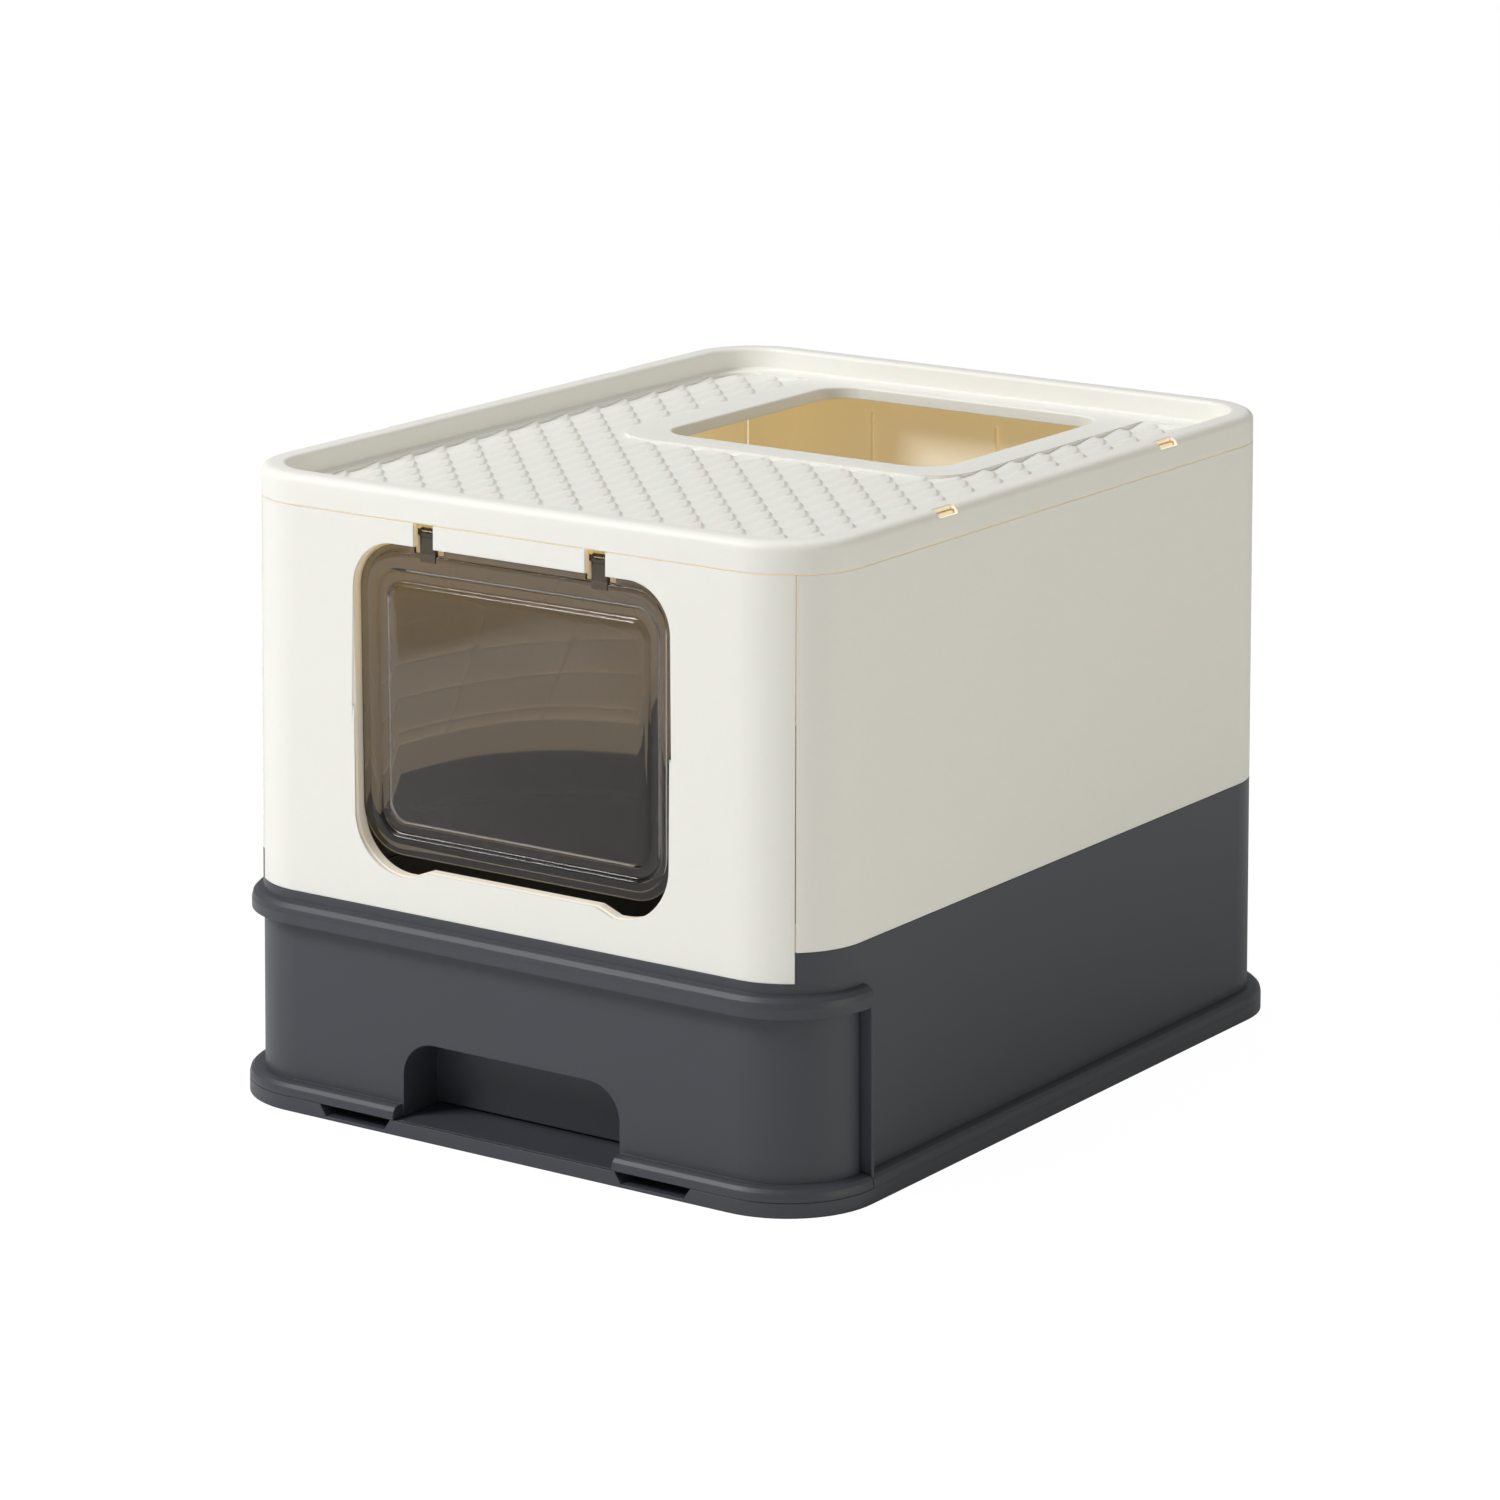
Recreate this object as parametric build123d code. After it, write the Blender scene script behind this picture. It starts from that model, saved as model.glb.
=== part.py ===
from build123d import *
from math import cos, radians, sin, tan
import os

# Covered litter box. Millimetres. The origin is the centre of the footprint on the floor,
# +X is the right side seen from the front, the door faces -Y and +Z is up.

# Body line: the outer face of the cream walls, measured at the seam under the lid
BODY_WIDTH = 377.0
BODY_DEPTH = 477.0
CORNER_RADIUS = 45.0
SEAM_HEIGHT = 334.0
DRAFT = 0.6
WALL = 3.0
PANEL_GAP = 0.6
WRAP_ANGLE = 40.0

# Lid
LID_HEIGHT = 16.8
LID_GAP = 0.4
LID_WALL = 2.5
RIM_WIDTH = 14.0
RIM_ROUND = 5.0
RIM_INNER_ROUND = 2.5
BASIN_DEPTH = 12.8
BASIN_DRAFT = 9.0
LID_FLOOR = 2.4
HOLE_WIDTH = 186.0
HOLE_LENGTH = 181.0
HOLE_FRONT = 24.0
HOLE_RADIUS = 20.0
HOLE_LIP = 7.0
HOLE_LIP_WALL = 2.2
MARGIN = 21.0
MARGIN_RADIUS = 28.0
LID_RIB = 1.6
LID_RIB_DEPTH = 4.0

# Scale pattern of the lid
PATTERN_SIDE = 4.0
PATTERN_REAR = 209.0
PATTERN_RADIUS = 20.0
PATTERN_DEPTH = 1.6
SCALE_PITCH = 26.2
SCALE_ROW = 14.4
SCALE_TILT = 4.5
SCALE_ROUND = 8.0
SCALE_TIP_WIDTH = 12.0
SCALE_CREST = 0.2

# Catches between the side walls and the lid
CATCH_POSITION = 112.0
CATCH_WIDTH = 16.0
CATCH_THICKNESS = 1.8
CATCH_ROOT = 14.0
CATCH_TOP_GAP = 0.6
CATCH_SLOT_GAP = 1.0
CATCH_SLOT_DEPTH = 4.3
CATCH_SLOT_INSET = 5.4
FIT = 0.3

# Door opening in the front wall
DOOR_WIDTH = 205.0
DOOR_BOTTOM = 141.5
DOOR_TOP = 321.5
DOOR_TOP_RADIUS = 26.0
DOOR_BOTTOM_RADIUS = 32.0
DOOR_LIP = 4.0
DOOR_LIP_WALL = 2.5
DOOR_EDGE_BEVEL = 1.6
SILL_RISE = 4.5
SILL_TOP_WIDTH = 111.0
SILL_FOOT_WIDTH = 134.0

# Flap and its hinge
FLAP_CLEARANCE = 1.5
FLAP_TOP_CLEARANCE = 4.5
FLAP_BOTTOM_CLEARANCE = 8.7
FLAP_RADIUS = 20.0
FLAP_SETBACK = 5.3
FLAP_THICKNESS = 2.4
CHANNEL_INSET = 8.0
CHANNEL_WIDTH = 8.5
CHANNEL_DEPTH = 2.2
CHANNEL_DRAFT = 25.0
CHANNEL_WALL = 1.6
STRAP_POSITION = 55.5
STRAP_WIDTH = 10.0
STRAP_SETBACK = 3.4
STRAP_OVERLAP = 3.0
PIN_END_GAP = 0.5
SLOT_WIDTH = 13.0
PIN_SETBACK = 5.6
PIN_DROP = 5.3
PIN_RADIUS = 1.8
PIN_CLEARANCE = 0.08
BARREL_RADIUS = 2.8
SNAP = 0.15
THROAT_HEIGHT = 1.4
FUNNEL_WIDTH = 6.0
LUG_THICKNESS = 2.5
RAIL_OFFSET = 6.2
RAIL_THICKNESS = 2.5
RAIL_DEPTH = 4.6

# Lower body
SIDE_JOINT_HEIGHT = 138.5
FRONT_JOINT_HEIGHT = 122.1
JOINT_GAP = 0.3
TONGUE_DEPTH = 5.0
TONGUE_HEIGHT = 14.0
TONGUE_WALL = 2.2
BASE_WALL = 2.6
LEDGE_BOTTOM = 105.0
LEDGE_HEIGHT = 11.5
LEDGE_OUT = 6.3
LEDGE_ROUND = 6.0
POST_SETBACK = 44.0
POST_THICKNESS = 2.5
GUIDE_GAP = 0.5
GUIDE_HEIGHT = 3.0
GUIDE_WIDTH = 5.0
GUIDE_LENGTH = 380.0
PLATE_HEIGHT = 8.0
PLATE_SKIN = 2.5
FLANGE_OUT = 8.0
FLANGE_HEIGHT = 7.0
FLANGE_ROUND = 5.0
NOTCH_POSITION = 98.5
NOTCH_TOP_WIDTH = 49.5
NOTCH_BOTTOM_WIDTH = 40.0
NOTCH_FLOOR = 1.8
NOTCH_DEPTH = 18.0
PLATE_EDGE_STRIP = 24.0
PLATE_RIB = 2.5
PLATE_CELL_COUNT_X = 4
PLATE_CELL_COUNT_Y = 5
LIP_GROOVE_INSET = 2.0
LIP_GROOVE_WIDTH = 0.8
LIP_GROOVE_DEPTH = 0.6

# Drawer
DRAWER_GAP = 0.8
DRAWER_FLOAT = 0.3
DRAWER_WALL = 2.6
DRAWER_FACE_SETBACK = 0.5
DRAWER_SIDE_GAP = 1.4
GRIP_WIDTH = 143.0
GRIP_TOP = 51.3
GRIP_RADIUS = 20.0
GRIP_DEPTH = 30.0
GRIP_WALL = 2.4
GRIP_FOOT_GAP = 1.2
GRIP_FLANGE_MARGIN = 1.0

# Stiffening inside the walls
RIB_THICKNESS = 1.4
RIB_HEIGHT = 1.6
SIDE_RIB_SPACING = 91.0
SIDE_RIB_LEVELS = (160.0, 182.0, 204.0)
SIDE_RIB_FOOT = 150.0
RIB_TOP = 318.0
BOSS_RADIUS = 4.3
BOSS_HEIGHT = 2.6
REAR_RIB_SPACING = 87.0

CENTRE_X = BODY_WIDTH / 2 - CORNER_RADIUS
CENTRE_Y = BODY_DEPTH / 2 - CORNER_RADIUS
LID_BOTTOM = SEAM_HEIGHT + LID_GAP
LID_TOP = SEAM_HEIGHT + LID_HEIGHT
BASIN_FLOOR = LID_TOP - BASIN_DEPTH
PATTERN_FLOOR = BASIN_FLOOR - PATTERN_DEPTH
FLAP_FRONT = -BODY_DEPTH / 2 + FLAP_SETBACK
FLAP_TOP = DOOR_TOP - FLAP_TOP_CLEARANCE
PIN_Y = -BODY_DEPTH / 2 + PIN_SETBACK
PIN_Z = SEAM_HEIGHT - PIN_DROP
DRAWER_BOTTOM = PLATE_HEIGHT + DRAWER_FLOAT
DRAWER_TOP = LEDGE_BOTTOM - DRAWER_GAP
POST_FRONT = -BODY_DEPTH / 2 + POST_SETBACK

# Modelling aids: how far joined features sink into each other, and how far cuts run past
SINK = 1.0
PAST = 5.0
ALL = 1000.0
ROUND_STEPS = 3
INNER_ROUND_STEPS = 2


def lean(z):
    """How far the drafted wall stands outside the body line at a height."""
    return (SEAM_HEIGHT - z) * tan(radians(DRAFT))


def section(z, out):
    """Rounded outline of the drafted body at a height, moved out by a distance."""
    grow = out + lean(z)
    outline = RectangleRounded(BODY_WIDTH + 2 * grow, BODY_DEPTH + 2 * grow, CORNER_RADIUS + out)
    return Plane.XY.offset(z) * outline


def envelope(z_low, z_high, out=0.0):
    """Rounded block with the body's draft, its faces moved out by a distance."""
    grow = out + lean(z_low)
    outline = Rectangle(BODY_WIDTH + 2 * grow, BODY_DEPTH + 2 * grow)
    blank = extrude(Plane.XY.offset(z_low) * outline, z_high - z_low, taper=DRAFT)
    corners = [edge for edge in blank.edges() if edge.bounding_box().size.Z > (z_high - z_low) / 2]
    return fillet(corners, CORNER_RADIUS + out)


def shell(z_low, z_high, thickness, out=0.0):
    """Ring of drafted wall between two heights."""
    return envelope(z_low, z_high, out) - envelope(z_low - SINK, z_high + SINK, out - thickness)


def bead(z_low, z_high, out, radius):
    """Block like the envelope whose top edge is rounded over in small steps."""
    sections = [section(z_low, out)]
    for step in range(ROUND_STEPS + 1):
        angle = radians(90 * step / ROUND_STEPS)
        height = z_high - radius + radius * sin(angle)
        sections.append(section(height, out - radius + radius * cos(angle)))
    return loft(sections, ruled=True)


def block(x, y, z):
    """Box given by its low and high coordinate on each axis."""
    centre = Pos((x[0] + x[1]) / 2, (y[0] + y[1]) / 2, (z[0] + z[1]) / 2)
    return centre * Box(x[1] - x[0], y[1] - y[0], z[1] - z[0])


def seam_point(distance, shift):
    """Point on the front right corner's seam line, moved sideways by a shift."""
    angle = radians(WRAP_ANGLE)
    x = CENTRE_X + distance * sin(angle) + shift * cos(angle)
    y = -CENTRE_Y - distance * cos(angle) + shift * sin(angle)
    return x, y


def wrap_zone(gap, z_low=-PAST, z_high=ALL):
    """Space of the front wall with both its corner wraps, short of the seams by a gap."""
    inner = seam_point(0, -gap)
    outer = seam_point(3 * CORNER_RADIUS, -gap)
    corners = [inner, outer, (-outer[0], outer[1]), (-inner[0], inner[1])]
    return extrude(Plane.XY.offset(z_low) * make_face(Polyline(*corners, close=True)), z_high - z_low)


def side_zone(gap):
    """Space of the right wall between the two corner seams, short of them by a gap."""
    inner = seam_point(0, gap)
    outer = seam_point(3 * CORNER_RADIUS, gap)
    corners = [inner, outer, (outer[0], -outer[1]), (inner[0], -inner[1])]
    return extrude(Plane.XY.offset(-PAST) * make_face(Polyline(*corners, close=True)), ALL)


def upper_wall(joint_height):
    """Cream wall all round, with the tongue that stands inside the lower body."""
    low = joint_height + JOINT_GAP
    wall = shell(low, SEAM_HEIGHT, WALL)
    tongue_out = -BASE_WALL - FIT
    tongue = shell(joint_height - TONGUE_DEPTH, low + TONGUE_HEIGHT, TONGUE_WALL, tongue_out)
    root = shell(low, low + TONGUE_HEIGHT, TONGUE_WALL + FIT + SINK, tongue_out + FIT + SINK)
    return wall + root + tongue


def door_outline(grow=0.0):
    """Rounded door opening with its raised sill, grown outward all round."""
    half = DOOR_WIDTH / 2 + grow
    low = DOOR_BOTTOM - grow
    high = DOOR_TOP + grow
    face = make_face(Polyline((-half, low), (half, low), (half, high), (-half, high), close=True))
    bottom = face.vertices().group_by(Axis.Y)[0]
    face = fillet(bottom, DOOR_BOTTOM_RADIUS + grow)
    top = face.vertices().group_by(Axis.Y)[-1]
    face = fillet(top, DOOR_TOP_RADIUS + grow)
    foot = SILL_FOOT_WIDTH / 2 - grow
    crest = SILL_TOP_WIDTH / 2 - grow
    hump = make_face(Polyline((-foot, low), (foot, low), (crest, low + SILL_RISE),
                              (-crest, low + SILL_RISE), close=True))
    return face - hump


def facing_front(face, y_front, depth):
    """Extrude a face drawn in X and Z backwards from a plane at y_front."""
    plane = Plane(origin=(0, y_front, 0), x_dir=(1, 0, 0), z_dir=(0, -1, 0))
    return extrude(plane * face, -depth)


def hinge_seat(side):
    """Two lugs beside one strap slot, each with a snap-in seat for a hinge pin."""
    x = STRAP_POSITION * side
    reach = SLOT_WIDTH / 2 + LUG_THICKNESS
    depth = (-BODY_DEPTH / 2 + WALL - SINK / 2, PIN_Y + RAIL_OFFSET + RAIL_THICKNESS)
    lugs = block((x - reach, x + reach), depth, (DOOR_TOP + SINK / 2, SEAM_HEIGHT - LID_GAP))
    lugs -= block((x - SLOT_WIDTH / 2, x + SLOT_WIDTH / 2), (-ALL, ALL), (0, ALL))
    radius = PIN_RADIUS + PIN_CLEARANCE
    throat = PIN_RADIUS - SNAP
    funnel_foot = PIN_Z + THROAT_HEIGHT
    mouth = make_face(Polyline(
        (PIN_Y - throat, PIN_Z), (PIN_Y + throat, PIN_Z), (PIN_Y + throat, funnel_foot),
        (PIN_Y + FUNNEL_WIDTH / 2, SEAM_HEIGHT), (PIN_Y - FUNNEL_WIDTH / 2, SEAM_HEIGHT),
        (PIN_Y - throat, funnel_foot), close=True))
    across = Plane(origin=(x - reach - SINK, 0, 0), x_dir=(0, 1, 0), z_dir=(1, 0, 0))
    length = 2 * (reach + SINK)
    seat = Pos(x, PIN_Y, PIN_Z) * Rot(0, 90, 0) * Cylinder(radius, length)
    return lugs - seat - extrude(across * mouth, length)


def door_bevel():
    """Cut that breaks the outer edge of the door opening along the drafted wall."""
    y_front = -BODY_DEPTH / 2 - lean((DOOR_BOTTOM + DOOR_TOP) / 2)
    tilted = Plane(origin=(0, y_front, (DOOR_BOTTOM + DOOR_TOP) / 2), x_dir=(1, 0, 0), z_dir=(0, -1, 0))
    tilted = tilted.rotated((DRAFT, 0, 0))
    outline = Pos(0, -(DOOR_BOTTOM + DOOR_TOP) / 2) * door_outline(DOOR_EDGE_BEVEL)
    return extrude(tilted * outline, -2 * DOOR_EDGE_BEVEL, taper=45)


def front_panel():
    """Front wall with its corner wraps, door opening, strap slots and hinge seats."""
    panel = upper_wall(FRONT_JOINT_HEIGHT) & wrap_zone(PANEL_GAP / 2)
    lip_front = -BODY_DEPTH / 2 + SINK
    lip_depth = WALL + DOOR_LIP - SINK
    panel += facing_front(door_outline(DOOR_LIP_WALL), lip_front, lip_depth)
    panel -= facing_front(door_outline(), lip_front - PAST, lip_depth + 2 * PAST)
    panel -= door_bevel()
    rail_front = PIN_Y + RAIL_OFFSET
    rail_top = SEAM_HEIGHT - LID_GAP
    rail_half = STRAP_POSITION + SLOT_WIDTH / 2 + SINK
    rail_depth = (rail_front, rail_front + RAIL_THICKNESS)
    for side in (-1, 1):
        x = STRAP_POSITION * side
        slot = (x - SLOT_WIDTH / 2, x + SLOT_WIDTH / 2)
        panel -= block(slot, (-ALL, rail_front), (DOOR_TOP - PAST, SEAM_HEIGHT + PAST))
        panel += hinge_seat(side)
    panel += block((-rail_half, rail_half), rail_depth, (rail_top - RAIL_DEPTH, rail_top))
    return panel


def rear_panel():
    """Rear wall with its corner wraps and upright ribs inside."""
    panel = upper_wall(FRONT_JOINT_HEIGHT) & wrap_zone(PANEL_GAP / 2)
    panel = panel.mirror(Plane.XZ)
    ribs = shell(FRONT_JOINT_HEIGHT + TONGUE_HEIGHT, RIB_TOP, RIB_HEIGHT + SINK, SINK - WALL)
    for step in (-1, 0, 1):
        x = step * REAR_RIB_SPACING
        panel += ribs & block((x - RIB_THICKNESS / 2, x + RIB_THICKNESS / 2), (0, ALL), (0, ALL))
    return panel


def side_panel():
    """Right wall with ribs and bosses inside and two catch tongues on top."""
    panel = upper_wall(SIDE_JOINT_HEIGHT) & side_zone(PANEL_GAP / 2)
    straight = block((0, ALL), (-CENTRE_Y, CENTRE_Y), (0, ALL))
    boss_level = SIDE_RIB_LEVELS[-1]
    inner_face = BODY_WIDTH / 2 + lean(boss_level) - WALL
    uprights = shell(SIDE_RIB_FOOT, RIB_TOP, RIB_HEIGHT + SINK, SINK - WALL)
    for step in (-1.5, -0.5, 0.5, 1.5):
        y = step * SIDE_RIB_SPACING
        panel += uprights & block((0, ALL), (y - RIB_THICKNESS / 2, y + RIB_THICKNESS / 2), (0, ALL))
    for y in (-SIDE_RIB_SPACING / 2, SIDE_RIB_SPACING / 2):
        boss = Rot(0, 90, 0) * Cylinder(BOSS_RADIUS, BOSS_HEIGHT + SINK)
        panel += Pos(inner_face - (BOSS_HEIGHT - SINK) / 2, y, boss_level) * boss
    for level in SIDE_RIB_LEVELS:
        low = level - RIB_THICKNESS / 2
        panel += shell(low, low + RIB_THICKNESS, RIB_HEIGHT + SINK, SINK - WALL) & straight
    out = -LID_WALL - FIT
    catch_foot = SEAM_HEIGHT - CATCH_ROOT
    catch = shell(catch_foot, LID_TOP - LID_WALL - CATCH_TOP_GAP, CATCH_THICKNESS, out)
    catch += shell(catch_foot, SEAM_HEIGHT - SINK, CATCH_THICKNESS + SINK, out + SINK)
    for y in (-CATCH_POSITION, CATCH_POSITION):
        panel += catch & block((0, ALL), (y - CATCH_WIDTH / 2, y + CATCH_WIDTH / 2), (0, ALL))
    return panel


def basin(z_low, wall=0.0):
    """Sunk middle of the lid with a softened upper edge, grown outward by a wall."""
    levels = [(z_low, 0.0), (LID_TOP - RIM_INNER_ROUND, 0.0)]
    for step in range(1, INNER_ROUND_STEPS + 1):
        angle = radians(90 * step / INNER_ROUND_STEPS)
        levels.append((LID_TOP - RIM_INNER_ROUND * (1 - sin(angle)), RIM_INNER_ROUND * (1 - cos(angle))))
    levels.append((LID_TOP + PAST, RIM_INNER_ROUND))
    sections = []
    for z, flare in levels:
        inset = RIM_WIDTH - wall + (LID_TOP - z) * tan(radians(BASIN_DRAFT)) - flare
        sections.append(section(z, -inset))
    return loft(sections, ruled=True)


def hole_outline(grow):
    """Entry hole seen from above, grown outward all round."""
    outline = RectangleRounded(HOLE_WIDTH + 2 * grow, HOLE_LENGTH + 2 * grow, HOLE_RADIUS + grow)
    return Pos(0, HOLE_FRONT + HOLE_LENGTH / 2) * outline


def pattern_zone(z_low, z_high):
    """Space of the scale pattern: the basin short of its edges, rear strip and hole margin."""
    edge = RIM_WIDTH + BASIN_DEPTH * tan(radians(BASIN_DRAFT)) + PATTERN_SIDE
    front = -BODY_DEPTH / 2 + edge
    field = RectangleRounded(BODY_WIDTH - 2 * edge, PATTERN_REAR - front, PATTERN_RADIUS)
    margin_front = HOLE_FRONT - MARGIN
    margin_rear = PATTERN_REAR + 2 * MARGIN_RADIUS
    margin = RectangleRounded(HOLE_WIDTH + 2 * MARGIN, margin_rear - margin_front, MARGIN_RADIUS)
    outline = Pos(0, (front + PATTERN_REAR) / 2) * field
    outline -= Pos(0, (margin_front + margin_rear) / 2) * margin
    return extrude(Plane.XY.offset(z_low) * outline, z_high - z_low)


def scale_rows():
    """Overlapping rows of scales, each row tilted up to its scalloped rear edge."""
    columns = int(BODY_WIDTH / SCALE_PITCH) + 2
    row_count = int((PATTERN_REAR + BODY_DEPTH / 2) / SCALE_ROW) + 3
    rows = []
    for row in range(row_count):
        start = (row % 2 - columns) * SCALE_PITCH / 2
        edge = []
        for column in range(columns):
            x = start + column * SCALE_PITCH
            edge.append((x - SCALE_PITCH / 2, -SCALE_ROUND))
            edge.append((x - SCALE_TIP_WIDTH / 2, 0))
            edge.append((x + SCALE_TIP_WIDTH / 2, 0))
        edge.append((x + SCALE_PITCH / 2, -SCALE_ROUND))
        front = -2 * SCALE_ROW - SCALE_ROUND
        outline = make_face(Polyline(*edge, (edge[-1][0], front), (edge[0][0], front), close=True))
        place = Pos(0, -BODY_DEPTH / 2 + (row + 0.5) * SCALE_ROW, BASIN_FLOOR + SCALE_CREST)
        rows.append(place * Rot(SCALE_TILT, 0, 0) * extrude(outline, -3 * PATTERN_DEPTH))
    return rows[0] + rows[1:]


def lid_ribs(top):
    """Stiffening ribs under the lid's floor, clear of the entry hole."""
    low = top - LID_RIB_DEPTH
    high = top + SINK
    ribs = Part()
    for x in (-HOLE_WIDTH / 2 - MARGIN, 0.0, HOLE_WIDTH / 2 + MARGIN):
        ribs += block((x - LID_RIB / 2, x + LID_RIB / 2), (-ALL, ALL), (low, high))
    for y in (-BODY_DEPTH / 3, -BODY_DEPTH / 6, HOLE_FRONT - MARGIN):
        ribs += block((-ALL, ALL), (y - LID_RIB / 2, y + LID_RIB / 2), (low, high))
    return ribs & basin(low - SINK)


def lid():
    """Cover with a hollow rim, sunk floor with scales, lipped entry hole and catch slots."""
    floor_under = PATTERN_FLOOR - LID_FLOOR
    cover = bead(LID_BOTTOM, LID_TOP, 0, RIM_ROUND) - basin(BASIN_FLOOR)
    cover -= envelope(LID_BOTTOM - PAST, LID_TOP - LID_WALL, -LID_WALL) - basin(floor_under, LID_WALL)
    cover -= pattern_zone(PATTERN_FLOOR, BASIN_FLOOR + SINK)
    cover += scale_rows() & pattern_zone(PATTERN_FLOOR - SINK, LID_TOP)
    cover += lid_ribs(floor_under)
    lip_low = BASIN_FLOOR - HOLE_LIP
    lip = Plane.XY.offset(lip_low) * hole_outline(HOLE_LIP_WALL)
    cover += extrude(lip, HOLE_LIP)
    cover -= extrude(Plane.XY.offset(lip_low - PAST) * hole_outline(0), HOLE_LIP + BASIN_DEPTH + 2 * PAST)
    slot_half = CATCH_WIDTH / 2 + CATCH_SLOT_GAP
    slot_inner = BODY_WIDTH / 2 - CATCH_SLOT_INSET
    for side in (-1, 1):
        x = sorted((side * slot_inner, side * ALL))
        for y in (-CATCH_POSITION, CATCH_POSITION):
            cover -= block(x, (y - slot_half, y + slot_half), (LID_TOP - CATCH_SLOT_DEPTH, ALL))
    return cover


def flap_outline(inset=0.0):
    """Flap seen from the front, in X and Z, drawn in from its edge."""
    low = DOOR_BOTTOM + FLAP_BOTTOM_CLEARANCE
    width = DOOR_WIDTH - 2 * FLAP_CLEARANCE
    face = RectangleRounded(width - 2 * inset, FLAP_TOP - low - 2 * inset, FLAP_RADIUS - inset)
    return Pos(0, (low + FLAP_TOP) / 2) * face


def tapered_ring(inset, width, y_front, depth):
    """Ring that follows the flap's edge, its sides closing in towards the back."""
    plane = Plane(origin=(0, y_front, 0), x_dir=(1, 0, 0), z_dir=(0, -1, 0))
    outer = extrude(plane * flap_outline(inset), -depth, taper=CHANNEL_DRAFT)
    inner = extrude(plane * flap_outline(inset + width), -depth, taper=-CHANNEL_DRAFT)
    return outer - inner


def flap_door():
    """Clear flap: rim, moulded channel, middle panel, two straps and their hinge pins."""
    flap = facing_front(flap_outline(), FLAP_FRONT, FLAP_THICKNESS)
    outside = CHANNEL_INSET - CHANNEL_WALL
    back = FLAP_THICKNESS + CHANNEL_DEPTH - SINK
    flap += tapered_ring(outside, CHANNEL_WIDTH + 2 * CHANNEL_WALL, FLAP_FRONT + SINK, back)
    flap -= tapered_ring(CHANNEL_INSET, CHANNEL_WIDTH, FLAP_FRONT, CHANNEL_DEPTH)
    strap_front = -BODY_DEPTH / 2 + STRAP_SETBACK
    pin_length = SLOT_WIDTH + 2 * (LUG_THICKNESS - PIN_END_GAP)
    for x in (-STRAP_POSITION, STRAP_POSITION):
        axle = Pos(x, PIN_Y, PIN_Z) * Rot(0, 90, 0)
        flap += block((x - STRAP_WIDTH / 2, x + STRAP_WIDTH / 2),
                      (strap_front, FLAP_FRONT + FLAP_THICKNESS), (FLAP_TOP - STRAP_OVERLAP, PIN_Z))
        flap += axle * Cylinder(BARREL_RADIUS, STRAP_WIDTH)
        flap += axle * Cylinder(PIN_RADIUS, pin_length)
    return flap


def foot_flange(z_low):
    """Rounded flange ring at the foot of the lower body."""
    high = z_low + FLANGE_HEIGHT
    return bead(z_low, high, FLANGE_OUT, FLANGE_ROUND) - envelope(z_low - SINK, high + SINK, SINK - BASE_WALL)


def ledge():
    """Rounded ledge over the drawer, from post to post round the front."""
    high = LEDGE_BOTTOM + LEDGE_HEIGHT
    ring = bead(LEDGE_BOTTOM, high, LEDGE_OUT, LEDGE_ROUND)
    ring -= envelope(LEDGE_BOTTOM - SINK, high + SINK, SINK - BASE_WALL)
    return ring & block((-ALL, ALL), (-ALL, POST_FRONT + POST_THICKNESS), (0, ALL))


def base_frame():
    """Lower body: walls on three sides, band over the drawer, posts, ledge and flange."""
    frame = shell(PLATE_HEIGHT, SIDE_JOINT_HEIGHT, BASE_WALL)
    step = wrap_zone(0, FRONT_JOINT_HEIGHT)
    frame = frame - step - step.mirror(Plane.XZ)
    frame += foot_flange(PLATE_HEIGHT)
    frame -= block((-ALL, ALL), (-ALL, POST_FRONT), (0, LEDGE_BOTTOM))
    frame += ledge()
    post = shell(PLATE_HEIGHT, LEDGE_BOTTOM + SINK, BASE_WALL + LEDGE_OUT - SINK, LEDGE_OUT)
    frame += post & block((-ALL, ALL), (POST_FRONT, POST_FRONT + POST_THICKNESS), (0, ALL))
    guide_low = LEDGE_BOTTOM + GUIDE_GAP
    guide = shell(guide_low, guide_low + GUIDE_HEIGHT, GUIDE_WIDTH + SINK, SINK - BASE_WALL)
    frame += guide & block((-ALL, ALL), (-GUIDE_LENGTH / 2, GUIDE_LENGTH / 2), (0, ALL))
    return frame


def plate_pockets():
    """Square pockets that leave ribs under the bottom plate, behind its solid front strip."""
    out = FLANGE_OUT - PLATE_SKIN
    inside = envelope(-SINK, PLATE_HEIGHT - PLATE_SKIN, out)
    width = BODY_WIDTH + 2 * (lean(0) + out)
    depth = BODY_DEPTH + 2 * (lean(0) + out) - PLATE_EDGE_STRIP
    inside &= block((-ALL, ALL), (PLATE_EDGE_STRIP - BODY_DEPTH / 2 - lean(0) - out, ALL), (-ALL, ALL))
    for column in range(1, PLATE_CELL_COUNT_X):
        x = (column / PLATE_CELL_COUNT_X - 0.5) * width
        inside -= block((x - PLATE_RIB / 2, x + PLATE_RIB / 2), (-ALL, ALL), (-ALL, ALL))
    for row in range(1, PLATE_CELL_COUNT_Y):
        y = (row / PLATE_CELL_COUNT_Y - 0.5) * depth + PLATE_EDGE_STRIP / 2
        inside -= block((-ALL, ALL), (y - PLATE_RIB / 2, y + PLATE_RIB / 2), (-ALL, ALL))
    return inside


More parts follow.
